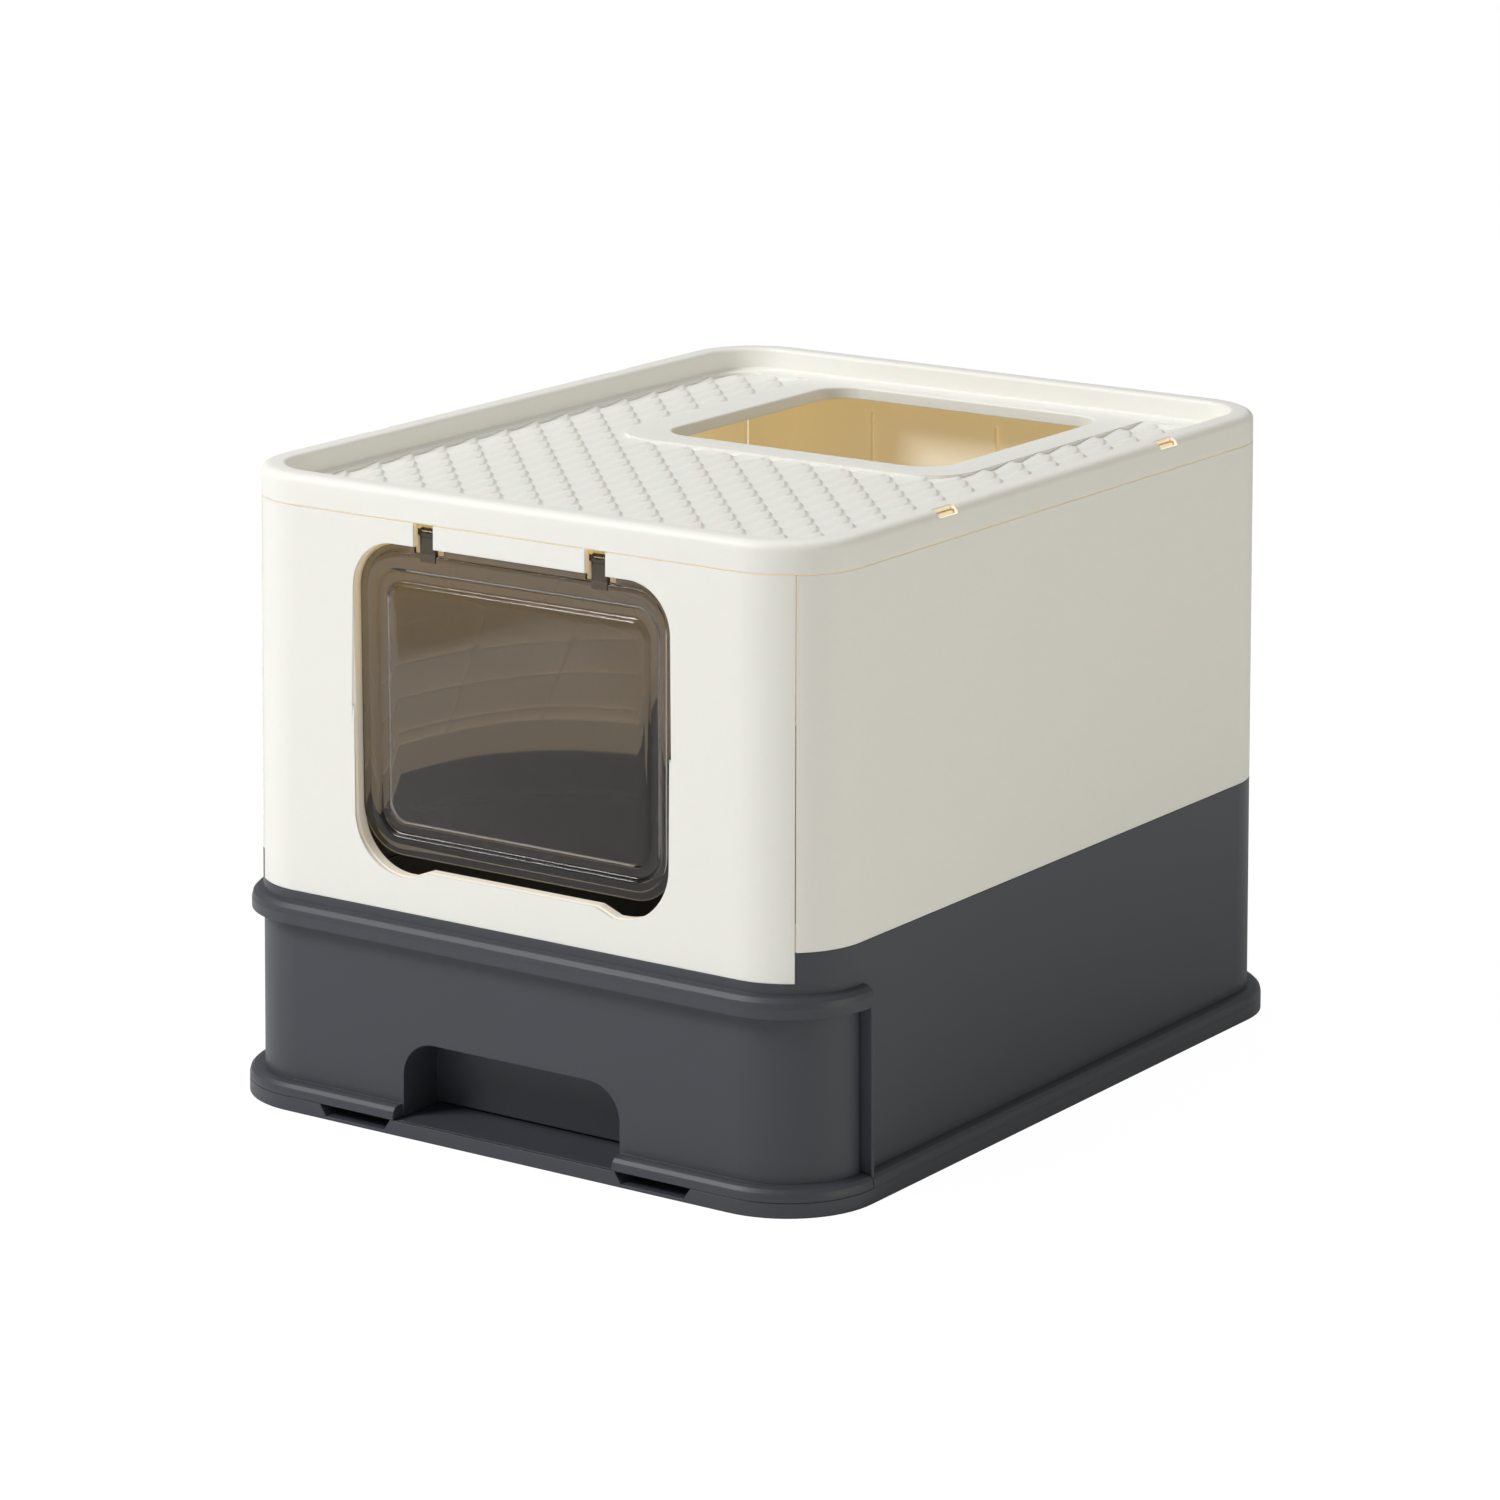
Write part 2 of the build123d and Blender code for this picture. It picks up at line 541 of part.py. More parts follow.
def base_plate():
    """Bottom plate, ribbed underneath, with two notches and a fine groove at its front edge."""
    plate = envelope(0, PLATE_HEIGHT, FLANGE_OUT) - plate_pockets()
    front = -BODY_DEPTH / 2 - lean(0) - FLANGE_OUT
    high = PLATE_HEIGHT + SINK
    low_half = NOTCH_BOTTOM_WIDTH / 2
    high_half = NOTCH_TOP_WIDTH / 2
    for x in (-NOTCH_POSITION, NOTCH_POSITION):
        notch = make_face(Polyline((x - low_half, NOTCH_FLOOR), (x + low_half, NOTCH_FLOOR),
                                   (x + high_half, high), (x - high_half, high), close=True))
        plate -= facing_front(notch, front - SINK, NOTCH_DEPTH + SINK)
    groove_half = NOTCH_POSITION - high_half
    groove_front = front + LIP_GROOVE_INSET
    plate -= block((-groove_half, groove_half), (groove_front, groove_front + LIP_GROOVE_WIDTH),
                   (PLATE_HEIGHT - LIP_GROOVE_DEPTH, high))
    return plate


def grip_outline(grow=0.0):
    """Grip recess seen from the front, in X and Z, grown outward."""
    half = GRIP_WIDTH / 2 + grow
    top = GRIP_TOP + grow
    face = make_face(Polyline((-half, 0), (half, 0), (half, top), (-half, top), close=True))
    return fillet(face.vertices().group_by(Axis.Y)[-1], GRIP_RADIUS + grow)


def drawer():
    """Litter tray with its wrap-round front, foot flange and grip recess."""
    face_out = -DRAWER_FACE_SETBACK
    tray_out = -BASE_WALL - DRAWER_SIDE_GAP
    rear_edge = POST_FRONT - DRAWER_GAP
    floor = DRAWER_BOTTOM + DRAWER_WALL
    outside = envelope(DRAWER_BOTTOM, DRAWER_TOP, face_out)
    wings = block((-ALL, ALL), (-ALL, rear_edge), (0, ALL))
    body = outside & wings
    body += envelope(DRAWER_BOTTOM, DRAWER_TOP, tray_out)
    half = GRIP_WIDTH / 2
    flange_half = half + GRIP_FLANGE_MARGIN
    body += (foot_flange(DRAWER_BOTTOM) & wings) - block((-flange_half, flange_half), (-ALL, 0), (0, ALL))
    hollow = envelope(floor, DRAWER_TOP + PAST, face_out - DRAWER_WALL)
    body -= hollow & block((-ALL, ALL), (-ALL, rear_edge - DRAWER_WALL), (0, ALL))
    body -= envelope(floor, DRAWER_TOP + PAST, tray_out - DRAWER_WALL)
    front = -BODY_DEPTH / 2 - lean(0) - PAST
    depth = GRIP_DEPTH + PAST
    body += facing_front(grip_outline(GRIP_WALL), front, depth + GRIP_WALL) & outside
    body -= facing_front(grip_outline(), front, depth)
    body -= block((-half, half), (front, front + depth + GRIP_WALL), (0, DRAWER_BOTTOM + GRIP_FOOT_GAP))
    return body


def main():
    os.makedirs("parts", exist_ok=True)
    right = side_panel()
    pieces = {
        "lid": lid(),
        "front_panel": front_panel(),
        "rear_panel": rear_panel(),
        "right_panel": right,
        "left_panel": right.mirror(Plane.YZ),
        "flap_door": flap_door(),
        "base_frame": base_frame(),
        "base_plate": base_plate(),
        "drawer": drawer(),
    }
    for name, piece in pieces.items():
        export_step(piece, f"parts/{name}.step")
        box = piece.bounding_box()
        print(name, len(piece.solids()), round(piece.volume), box.min, box.max)


main()
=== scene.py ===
import bmesh
import bpy
from math import ceil, cos, pi, radians, sin, sqrt, tan
from mathutils import Matrix, Vector


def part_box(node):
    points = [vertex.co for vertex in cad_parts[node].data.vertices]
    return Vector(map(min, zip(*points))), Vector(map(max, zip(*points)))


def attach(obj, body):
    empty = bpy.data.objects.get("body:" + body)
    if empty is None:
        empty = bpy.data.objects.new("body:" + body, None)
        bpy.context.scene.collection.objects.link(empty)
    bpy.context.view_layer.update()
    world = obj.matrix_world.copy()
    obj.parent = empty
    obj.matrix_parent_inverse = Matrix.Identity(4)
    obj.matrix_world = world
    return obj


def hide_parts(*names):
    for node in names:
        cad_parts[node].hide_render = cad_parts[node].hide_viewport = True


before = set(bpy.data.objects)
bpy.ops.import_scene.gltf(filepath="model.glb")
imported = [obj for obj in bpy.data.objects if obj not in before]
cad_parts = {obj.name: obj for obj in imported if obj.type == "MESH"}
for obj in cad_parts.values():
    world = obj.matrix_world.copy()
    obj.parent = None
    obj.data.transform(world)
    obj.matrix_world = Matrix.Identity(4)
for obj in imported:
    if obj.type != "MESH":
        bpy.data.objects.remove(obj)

bl_info = {
    "name": "Covered Litter Box Dressing",
    "version": (1, 0, 0),
    "blender": (4, 5, 0),
    "location": "3D View > Sidebar > Litter Box",
    "description": "Dresses the packed litter box: ivory walls, scaled lid, slate base, clear flap",
    "category": "Object",
}

SHELL_NODES = ("front_panel", "rear_panel", "left_panel", "right_panel")
BASE_NODES = ("base_frame", "base_plate", "drawer")
MOST_POWER = 1000.0

# Finishes: sizes of the slow change of tone and of the grain in metres, and fixed shader values
BEVEL_SAMPLES = 4
SHELL_FLOW = 0.12
BASE_FLOW = 0.18
BASE_SPECULAR = 0.42
FLAP_GRAIN = 0.004
FLAP_FLOW = 0.05
FLAP_IOR = 1.49

# Angles above which an edge stays sharp, and the steps of the rounds
LID_CREASE = radians(32)
FLAP_CREASE = radians(35)
CORNER_STEPS = 14
ROUND_STEPS = 6
EASE_STEPS = 6
ROD_STEPS = 32

# Scales: columns across one scale, where points lie on a fall as shares of its width, how far
# before the first tip the slope starts in widths of a fall, and rows past the pattern's end
SCALE_COLUMN_STEPS = 22
SCALE_FALL_SHARES = (-1.0, -0.75, -0.5, -0.25, 0.0)
SCALE_LEAD = 0.7
SPARE_SCALE_ROWS = 2

# Ribs across the lid as shares of its depth, the least distance between two points, how far a
# cutting tool reaches past what it cuts, and a notch tool's depth in thicknesses of the flap
LID_RIB_PLACES = (-1 / 3, -1 / 6)
LEAST_STEP = 0.00003
CUT_PAST = 0.005
NOTCH_REACH = 4

# Painted glow in place of daylight in the walls: the depths under the skin where it starts, where
# it is full and over which a rib dims it, the share that a rib takes, and a depth that nothing
# reaches
NO_LIMIT = 10.0
GLOW_SKIN = 0.0002
GLOW_FULL = 0.0010
GLOW_RIB_FOOT = 0.0033
GLOW_RIB_TOP = 0.0045
GLOW_RIB_LOSS = 0.3

# Stage: softboxes with their widths and heights, the floor's finish, and the camera
KEY_PLACE, KEY_SIZE = (-2.1, -2.8, 3.4), (1.7, 1.7)
TOP_PLACE, TOP_SIZE = (-0.4, 0.4, 2.2), (1.6, 1.6)
FILL_PLACE, FILL_SIZE = (2.6, 0.2, 0.8), (1.6, 1.2)
FLOOR_COLOUR = (0.9, 0.9, 0.9, 1.0)
FLOOR_ROUGHNESS = 0.9
FLOOR_SPECULAR = 0.1
SENSOR_WIDTH = 36.0
VIEW_REACH = 200.0

LID_LOW, LID_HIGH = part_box("lid")
FLAP_LOW, FLAP_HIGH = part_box("flap_door")


def number_prop(name, description, default, low, high, subtype="NONE", unit="NONE"):
    """Number property with its limits."""
    return bpy.props.FloatProperty(
        name=name, description=description, default=default, min=low, max=high,
        subtype=subtype, unit=unit)


def length_prop(name, description, default, low, high):
    """Length property in metres."""
    return number_prop(name, description, default, low, high, "DISTANCE", "LENGTH")


def angle_prop(name, description, default, low=-pi, high=pi):
    """Angle property in radians."""
    return number_prop(name, description, default, low, high, "ANGLE", "ROTATION")


def share_prop(name, description, default, low=0.0, high=1.0):
    """Share property from nothing to all."""
    return number_prop(name, description, default, low, high, "FACTOR")


def power_prop(name, description, default):
    """Power property of a lamp in watts."""
    return number_prop(name, description, default, 0.0, MOST_POWER, "POWER", "POWER")


def colour_prop(name, description, default):
    """Colour property."""
    return bpy.props.FloatVectorProperty(
        name=name, description=description, default=default, min=0.0, max=1.0,
        subtype="COLOR", size=3)


class ShellSettings(bpy.types.PropertyGroup):
    """Finish of the ivory walls and lid, and the glow painted inside them."""

    cream: colour_prop("Cream", "Colour of the ivory plastic", (0.870, 0.868, 0.815))
    warm: colour_prop(
        "Warm cream", "Colour where the moulding flowed unevenly", (0.858, 0.853, 0.795))
    scatter: share_prop("Scatter", "Share of light that spreads inside the plastic", 0.12)
    scatter_reach: length_prop(
        "Scatter reach", "How far light spreads inside the plastic", 0.002, 0.0, 0.05)
    # Painted glow: emission colours and heights that stand in for daylight through the walls
    painted_glow_low: colour_prop(
        "Lower glow", "Daylight that comes through the walls near the tray", (0.160, 0.126, 0.083))
    painted_glow_high: colour_prop(
        "Upper glow", "Daylight that comes through the walls under the lid", (0.270, 0.180, 0.062))
    glow_from: length_prop(
        "Glow from", "Height where the upper glow starts to take over", 0.20, 0.0, 0.5)
    glow_to: length_prop("Glow to", "Height where the upper glow has taken over", 0.30, 0.0, 0.5)
    roughness: share_prop("Roughness", "Roughness of the satin surface", 0.5)
    grain_size: length_prop("Grain size", "Size of the fine moulded grain", 0.0011, 0.0001, 0.01)
    grain_depth: length_prop("Grain depth", "Height of the fine moulded grain", 0.00004, 0.0, 0.001)
    edge_round: length_prop("Edge round", "Radius of the broken edges", 0.0008, 0.0, 0.01)


class BaseSettings(bpy.types.PropertyGroup):
    """Finish of the slate lower body, drawer and bottom plate."""

    slate: colour_prop("Slate", "Colour of the dark plastic", (0.049, 0.054, 0.064))
    faded: colour_prop("Faded slate", "Colour of the paler patches", (0.053, 0.059, 0.070))
    roughness: share_prop("Roughness", "Roughness of the satin surface", 0.42)
    grain_size: length_prop("Grain size", "Size of the fine moulded grain", 0.0009, 0.0001, 0.01)
    grain_depth: length_prop("Grain depth", "Height of the fine moulded grain", 0.00003, 0.0, 0.001)
    edge_round: length_prop("Edge round", "Radius of the broken edges", 0.0007, 0.0, 0.01)


class FlapSettings(bpy.types.PropertyGroup):
    """Sizes and finish of the smoked clear flap."""

    smoke: colour_prop("Smoke", "Tint of the clear plastic", (0.325, 0.300, 0.274))
    strap_smoke: colour_prop(
        "Strap smoke", "Tint of the thicker straps and hinge barrels", (0.10, 0.092, 0.085))
    roughness: share_prop("Roughness", "Roughness of the polished plastic", 0.04)
    haze: share_prop("Haze", "Extra roughness in faint wiped streaks", 0.01)
    height: length_prop("Height", "Height of the flap up to its top strip", 0.1655, 0.05, 0.3)
    foot_lift: length_prop(
        "Foot lift", "Height of the flap's foot above the plain flap's", 0.0011, 0.0, 0.005)
    side_grow: length_prop(
        "Side grow", "How far each side reaches past the plain flap", 0.0009, 0.0, 0.0012)
    notch_width: length_prop(
        "Notch width", "Width of the gaps in the top strip that clear the hinge lugs", 0.0194,
        0.0184, 0.03)
    strip_height: length_prop(
        "Strip height", "Height of the set-back strip along the flap's top", 0.0034, 0.0005, 0.004)
    front_inset: length_prop(
        "Front inset", "Flap's front behind the foremost point of its hinge", 0.0013, 0.0, 0.01)
    thickness: length_prop("Thickness", "Thickness of the clear plastic", 0.0024, 0.001, 0.01)
    corner_radius: length_prop("Corner radius", "Radius of the flap's corners", 0.0255, 0.005, 0.06)
    panel_radius: length_prop(
        "Panel radius", "Corner radius of the raised middle panel", 0.0105, 0.002, 0.05)
    edge_round: length_prop("Edge round", "Radius of the flap's outer edges", 0.0007, 0.0, 0.0012)
    lip_width: length_prop(
        "Lip width", "Width of the low lip along the flap's edge", 0.0046, 0.0015, 0.01)
    lip_drop: length_prop("Lip drop", "How far the lip lies behind the rim", 0.0007, 0.0, 0.001)
    channel_inset: length_prop(
        "Channel inset", "Distance from the flap's edge to the channel", 0.0096, 0.006, 0.03)
    channel_width: length_prop(
        "Channel width", "Width of the channel round the middle panel", 0.0090, 0.007, 0.03)
    channel_slope: length_prop(
        "Channel slope", "Width of each of the channel's two slopes", 0.0024, 0.0005, 0.003)
    channel_depth: length_prop("Channel depth", "Depth of the channel", 0.0022, 0.0, 0.0022)
    channel_wall: length_prop(
        "Channel wall", "Thickness of the plastic on the channel's slopes", 0.0008, 0.0, 0.002)
    strap_place: length_prop(
        "Strap place", "Distance of the straps from the middle", 0.0555, 0.02, 0.09)
    strap_width: length_prop("Strap width", "Width of the two straps", 0.0104, 0.002, 0.0125)
    strap_foot: length_prop(
        "Strap foot", "How far the straps run down over the flap", 0.0035, 0.001, 0.02)
    strap_inset: length_prop(
        "Strap inset", "Straps' front behind the foremost point of the hinge", 0.0006, 0.0, 0.003)
    strap_round: length_prop("Strap round", "Radius of the straps' edges", 0.0007, 0.0002, 0.002)
    barrel_radius: length_prop("Barrel radius", "Radius of the hinge barrels", 0.0028, 0.001, 0.004)
    pin_radius: length_prop("Pin radius", "Radius of the hinge pins", 0.0018, 0.0005, 0.00185)
    pin_length: length_prop("Pin length", "Length of a hinge pin, end to end", 0.017, 0.01, 0.017)


class LidSettings(bpy.types.PropertyGroup):
    """Sizes of the lid's rim, sunk floor, entry hole and scale pattern."""

    corner_radius: length_prop(
        "Corner radius", "Radius of the lid's corners seen from above", 0.045, 0.02, 0.1)
    seam_gap: length_prop(
        "Seam height", "Height of the lid's lower edge above its lowest rib", 0.0044, 0.0, 0.02)
    draft: angle_prop("Draft", "Slope of the outer wall", radians(0.6), 0.0, 0.2)
    wall: length_prop("Wall", "Thickness of the rim's walls", 0.0025, 0.001, 0.01)
    rim_width: length_prop("Rim width", "Width of the raised rim", 0.014, 0.005, 0.05)
    rim_round: length_prop("Rim round", "Radius of the rim's outer edge", 0.005, 0.0005, 0.01)
    inner_round: length_prop("Inner round", "Radius of the rim's inner edge", 0.0025, 0.0005, 0.01)
    basin_depth: length_prop(
        "Basin depth", "Depth of the sunk floor below the rim", 0.0128, 0.002, 0.03)
    basin_draft: angle_prop("Basin draft", "Slope of the basin's wall", radians(9), 0.0, 0.8)
    floor_round: length_prop(
        "Floor round", "Radius between the basin's wall and its floor", 0.0015, 0.0002, 0.01)
    floor_thickness: length_prop(
        "Floor thickness", "Thickness of the sunk floor at its flat margin", 0.004, 0.002, 0.01)
    hole_width: length_prop("Hole width", "Width of the entry hole", 0.186, 0.1, 0.3)
    hole_length: length_prop(
        "Hole length", "Length of the entry hole, front to back", 0.181, 0.1, 0.3)
    hole_front: length_prop(
        "Hole front", "Place of the hole's front edge behind the centre", 0.024, -0.2, 0.2)
    hole_radius: length_prop("Hole radius", "Corner radius of the entry hole", 0.020, 0.005, 0.08)
    hole_round: length_prop(
        "Hole edge round", "Radius of the hole's upper edge", 0.0012, 0.0002, 0.005)
    hole_lip: length_prop("Hole lip", "Height of the lip round the entry hole", 0.007, 0.001, 0.03)
    hole_lip_wall: length_prop(
        "Hole lip wall", "Thickness of the lip round the entry hole", 0.0022, 0.001, 0.01)
    margin: length_prop("Margin", "Flat margin round the entry hole", 0.021, 0.005, 0.05)
    margin_radius: length_prop(
        "Margin radius", "Corner radius of the flat margin", 0.028, 0.005, 0.05)
    pattern_side: length_prop(
        "Pattern side", "Flat strip between the basin's wall and the scales", 0.004, 0.001, 0.03)
    pattern_rear: length_prop(
        "Pattern rear", "Place of the scale pattern's rear end", 0.209, 0.0, 0.3)
    pattern_radius: length_prop(
        "Pattern radius", "Corner radius of the scale pattern", 0.020, 0.001, 0.05)
    scale_pitch: length_prop(
        "Scale pitch", "Distance between two scales of a row", 0.0262, 0.005, 0.06)
    scale_row: length_prop("Scale row", "Distance between two rows of scales", 0.0144, 0.005, 0.06)
    scale_tilt: angle_prop(
        "Scale tilt", "Slope of each scale up to its rear edge", radians(6.6), 0.0, 0.3)
    scale_fall: length_prop(
        "Scale fall", "Width of the slope from a scale down to the one behind it", 0.0038, 0.0005,
        0.02)
    tip_fall: share_prop(
        "Tip fall", "Width of the slope at a scale's tip, as a share of that at its side", 0.4, 0.1,
        1.0)
    scale_power: number_prop(
        "Scale roundness", "Power of the curve of a scale's rear edge", 1.6, 1.0, 6.0)
    scale_crown: length_prop(
        "Scale crown", "Height of a scale's middle above its sides", 0.0003, 0.0, 0.002)
    catch_position: length_prop(
        "Catch place", "Place of the catch slots in front of and behind the centre", 0.112, 0.02,
        0.2)
    slot_width: length_prop("Slot width", "Width of a catch slot in the rim", 0.018, 0.005, 0.04)
    slot_depth: length_prop("Slot depth", "Depth of a catch slot in the rim", 0.0043, 0.001, 0.01)
    slot_inset: length_prop(
        "Slot inset", "How far a catch slot reaches into the rim", 0.0054, 0.001, 0.014)
    rib: length_prop("Rib", "Thickness of the ribs under the floor", 0.0016, 0.0005, 0.005)


class StageSettings(bpy.types.PropertyGroup):
    """Camera, floor and studio lights."""

    camera_place: bpy.props.FloatVectorProperty(
        name="Camera place", description="Where the camera stands", subtype="XYZ",
        unit="LENGTH", size=3, default=(1.624435, -2.371852, 0.904923))
    camera_yaw: angle_prop("Camera yaw", "Turn of the camera about the upright axis", 0.6042)
    camera_pitch: angle_prop("Camera pitch", "How far the camera looks down", 0.2498)
    camera_roll: angle_prop("Camera roll", "Roll of the camera", 0.0022)
    lens: number_prop("Lens", "Focal length in millimetres", 127.56, 10.0, 400.0)
    floor_size: length_prop("Floor size", "Width of the pale floor", 80.0, 1.0, 200.0)
    floor_lift: share_prop(
        "Floor lift", "How much of the floor's shade the lens flare washes out", 0.93)
    flare: number_prop("Flare", "Brightness of the washed-out floor and backdrop", 1.05, 0.0, 2.0)
    world_strength: number_prop(
        "Room light", "Strength of the even light of the white room", 0.27, 0.0, 10.0)
    key_power: power_prop("Key power", "Power of the softbox at the front left", 164.0)
    top_power: power_prop("Top power", "Power of the softbox overhead", 7.5)
    fill_power: power_prop("Fill power", "Power of the softbox at the right", 13.0)
    fill_colour: colour_prop("Fill colour", "Colour of the softbox at the right", (1.0, 0.94, 0.76))


def new_group(name, inputs, outputs):
    """Shader node group with the named sockets, and its two end nodes."""
    group = bpy.data.node_groups.new(name, "ShaderNodeTree")
    for label, kind, value in inputs:
        socket = group.interface.new_socket(name=label, in_out="INPUT", socket_type=kind)
        socket.default_value = value
    for label, kind in outputs:
        group.interface.new_socket(name=label, in_out="OUTPUT", socket_type=kind)
    return group, group.nodes.new("NodeGroupInput"), group.nodes.new("NodeGroupOutput")


def calc(group, operation, *terms):
    """Result of a math node over sockets and numbers."""
    node = group.nodes.new("ShaderNodeMath")
    node.operation = operation
    for place, term in enumerate(terms):
        if isinstance(term, bpy.types.NodeSocket):
            group.links.new(term, node.inputs[place])
        else:
            node.inputs[place].default_value = term
    return node.outputs[0]


def fade(group, value, start, end):
    """Soft step from 0 at a start to 1 at an end."""
    node = group.nodes.new("ShaderNodeMapRange")
    node.interpolation_type = "SMOOTHSTEP"
    for label, term in (("Value", value), ("From Min", start), ("From Max", end)):
        if isinstance(term, bpy.types.NodeSocket):
            group.links.new(term, node.inputs[label])
        else:
            node.inputs[label].default_value = term
    return node.outputs[0]


def blend_colour(group, factor, low, high):
    """Mix of two colours, each a socket or a plain colour."""
    node = group.nodes.new("ShaderNodeMix")
    node.data_type = "RGBA"
    for label, term in (("Factor", factor), ("A", low), ("B", high)):
        socket = next(s for s in node.inputs if s.enabled and s.name == label)
        if isinstance(term, bpy.types.NodeSocket):
            group.links.new(term, socket)
        else:
            socket.default_value = term
    return next(s for s in node.outputs if s.enabled)


def moulded_grain():
    """Fine grain of moulded plastic with its slow change of tone, as a node group."""
    group, start, end = new_group(
        "Moulded grain",
        [("Grain Size", "NodeSocketFloat", 0.001), ("Flow Size", "NodeSocketFloat", 0.12),
         ("Colour", "NodeSocketColor", (0.8, 0.8, 0.8, 1.0)),
         ("Flow Colour", "NodeSocketColor", (0.7, 0.7, 0.7, 1.0)),
         ("Roughness", "NodeSocketFloat", 0.5), ("Roughness Change", "NodeSocketFloat", 0.05)],
        [("Colour", "NodeSocketColor"), ("Roughness", "NodeSocketFloat"),
         ("Height", "NodeSocketFloat")])
    nodes, links = group.nodes, group.links
    place = nodes.new("ShaderNodeTexCoord")
    noises = []
    for label, detail, distortion in (("Grain Size", 2.0, 0.0), ("Flow Size", 3.0, 0.6)):
        noise = nodes.new("ShaderNodeTexNoise")
        noise.inputs["Detail"].default_value = detail
        noise.inputs["Distortion"].default_value = distortion
        links.new(place.outputs["Object"], noise.inputs["Vector"])
        links.new(calc(group, "DIVIDE", 1.0, start.outputs[label]), noise.inputs["Scale"])
        noises.append(noise.outputs["Fac"])
    grain, flow = noises
    tone = blend_colour(group, flow, start.outputs["Colour"], start.outputs["Flow Colour"])
    swing = calc(group, "SUBTRACT", flow, 0.5)
    rough = calc(group, "MULTIPLY_ADD", swing, start.outputs["Roughness Change"],
                 start.outputs["Roughness"])
    links.new(tone, end.inputs["Colour"])
    links.new(rough, end.inputs["Roughness"])
    links.new(grain, end.inputs["Height"])
    return group


def painted_wall_glow():
    """Painted daylight glow in the thin walls, by the depth under the outer skin, as a node group.
    """
    group, start, end = new_group(
        "Painted wall glow",
        [("Half Width", "NodeSocketFloat", 0.2), ("Half Depth", "NodeSocketFloat", 0.2),
         ("Corner Radius", "NodeSocketFloat", 0.045), ("Seam Height", "NodeSocketFloat", 0.334),
         ("Slope", "NodeSocketFloat", 0.01), ("Top Height", "NodeSocketFloat", 1.0),
         ("Edge Round", "NodeSocketFloat", 0.005), ("Reach", "NodeSocketFloat", 1.0),
         ("Low Colour", "NodeSocketColor", (0.2, 0.15, 0.1, 1.0)),
         ("High Colour", "NodeSocketColor", (0.3, 0.2, 0.1, 1.0)),
         ("From Height", "NodeSocketFloat", 0.2), ("To Height", "NodeSocketFloat", 0.3)],
        [("Colour", "NodeSocketColor")])
    given = start.outputs
    place = group.nodes.new("ShaderNodeTexCoord")
    split = group.nodes.new("ShaderNodeSeparateXYZ")
    group.links.new(place.outputs["Object"], split.inputs[0])
    height = split.outputs["Z"]

    # How far a point lies past the straight sides, which lean out below the seam
    below = calc(group, "SUBTRACT", given["Seam Height"], height)
    lean = calc(group, "MULTIPLY", below, given["Slope"])
    past = []
    for axis, half in (("X", "Half Width"), ("Y", "Half Depth")):
        straight = calc(group, "SUBTRACT", given[half], given["Corner Radius"])
        away = calc(group, "ABSOLUTE", split.outputs[axis])
        past.append(calc(group, "SUBTRACT", away, calc(group, "ADD", straight, lean)))

    # Depth under the outer wall and the top, then under the round edge that joins the two
    round_off = [calc(group, "POWER", calc(group, "MAXIMUM", side, 0.0), 2.0) for side in past]
    corner = calc(group, "SQRT", calc(group, "ADD", *round_off))
    flat = calc(group, "MINIMUM", calc(group, "MAXIMUM", *past), 0.0)
    side_depth = calc(group, "SUBTRACT", given["Corner Radius"], calc(group, "ADD", corner, flat))
    top_depth = calc(group, "SUBTRACT", given["Top Height"], height)
    short = []
    for depth in (side_depth, top_depth):
        rest = calc(group, "MAXIMUM", calc(group, "SUBTRACT", given["Edge Round"], depth), 0.0)
        short.append(calc(group, "POWER", rest, 2.0))
    reach = calc(group, "SQRT", calc(group, "ADD", *short))
    depth = calc(group, "SUBTRACT", given["Edge Round"], reach)

    # The painted light starts under the skin, is weaker in a rib as painted shade, and ends past
    # the reach
    shown = fade(group, depth, GLOW_SKIN, GLOW_FULL)
    thick = calc(group, "MULTIPLY", fade(group, depth, GLOW_RIB_FOOT, GLOW_RIB_TOP), -GLOW_RIB_LOSS)
    shown = calc(group, "MULTIPLY", shown, calc(group, "ADD", thick, 1.0))
    far = fade(group, calc(group, "SUBTRACT", side_depth, given["Reach"]), 0.0, GLOW_SKIN)
    shown = calc(group, "MULTIPLY", shown, calc(group, "SUBTRACT", 1.0, far))
    rise = fade(group, height, given["From Height"], given["To Height"])
    light = blend_colour(group, rise, given["Low Colour"], given["High Colour"])
    group.links.new(blend_colour(group, shown, (0.0, 0.0, 0.0, 1.0), light), end.inputs["Colour"])
    return group


def new_material(name):
    """New material with its nodes, its links and its shader."""
    material = bpy.data.materials.new(name)
    material.use_nodes = True
    nodes, links = material.node_tree.nodes, material.node_tree.links
    return material, nodes, links, nodes["Principled BSDF"]


def split_rays(tree, output, ray, first, second, share=None):
    """Show a kind of ray the second shader, or a share of it, and all other rays the first."""
    factor = tree.nodes.new("ShaderNodeLightPath").outputs[ray]
    if share is not None:
        factor = calc(tree, "MULTIPLY", factor, share)
    mix = tree.nodes.new("ShaderNodeMixShader")
    for place, socket in enumerate((factor, first.outputs[0], second.outputs[0])):
        tree.links.new(socket, mix.inputs[place])
    tree.links.new(mix.outputs["Shader"], tree.nodes[output].inputs["Surface"])


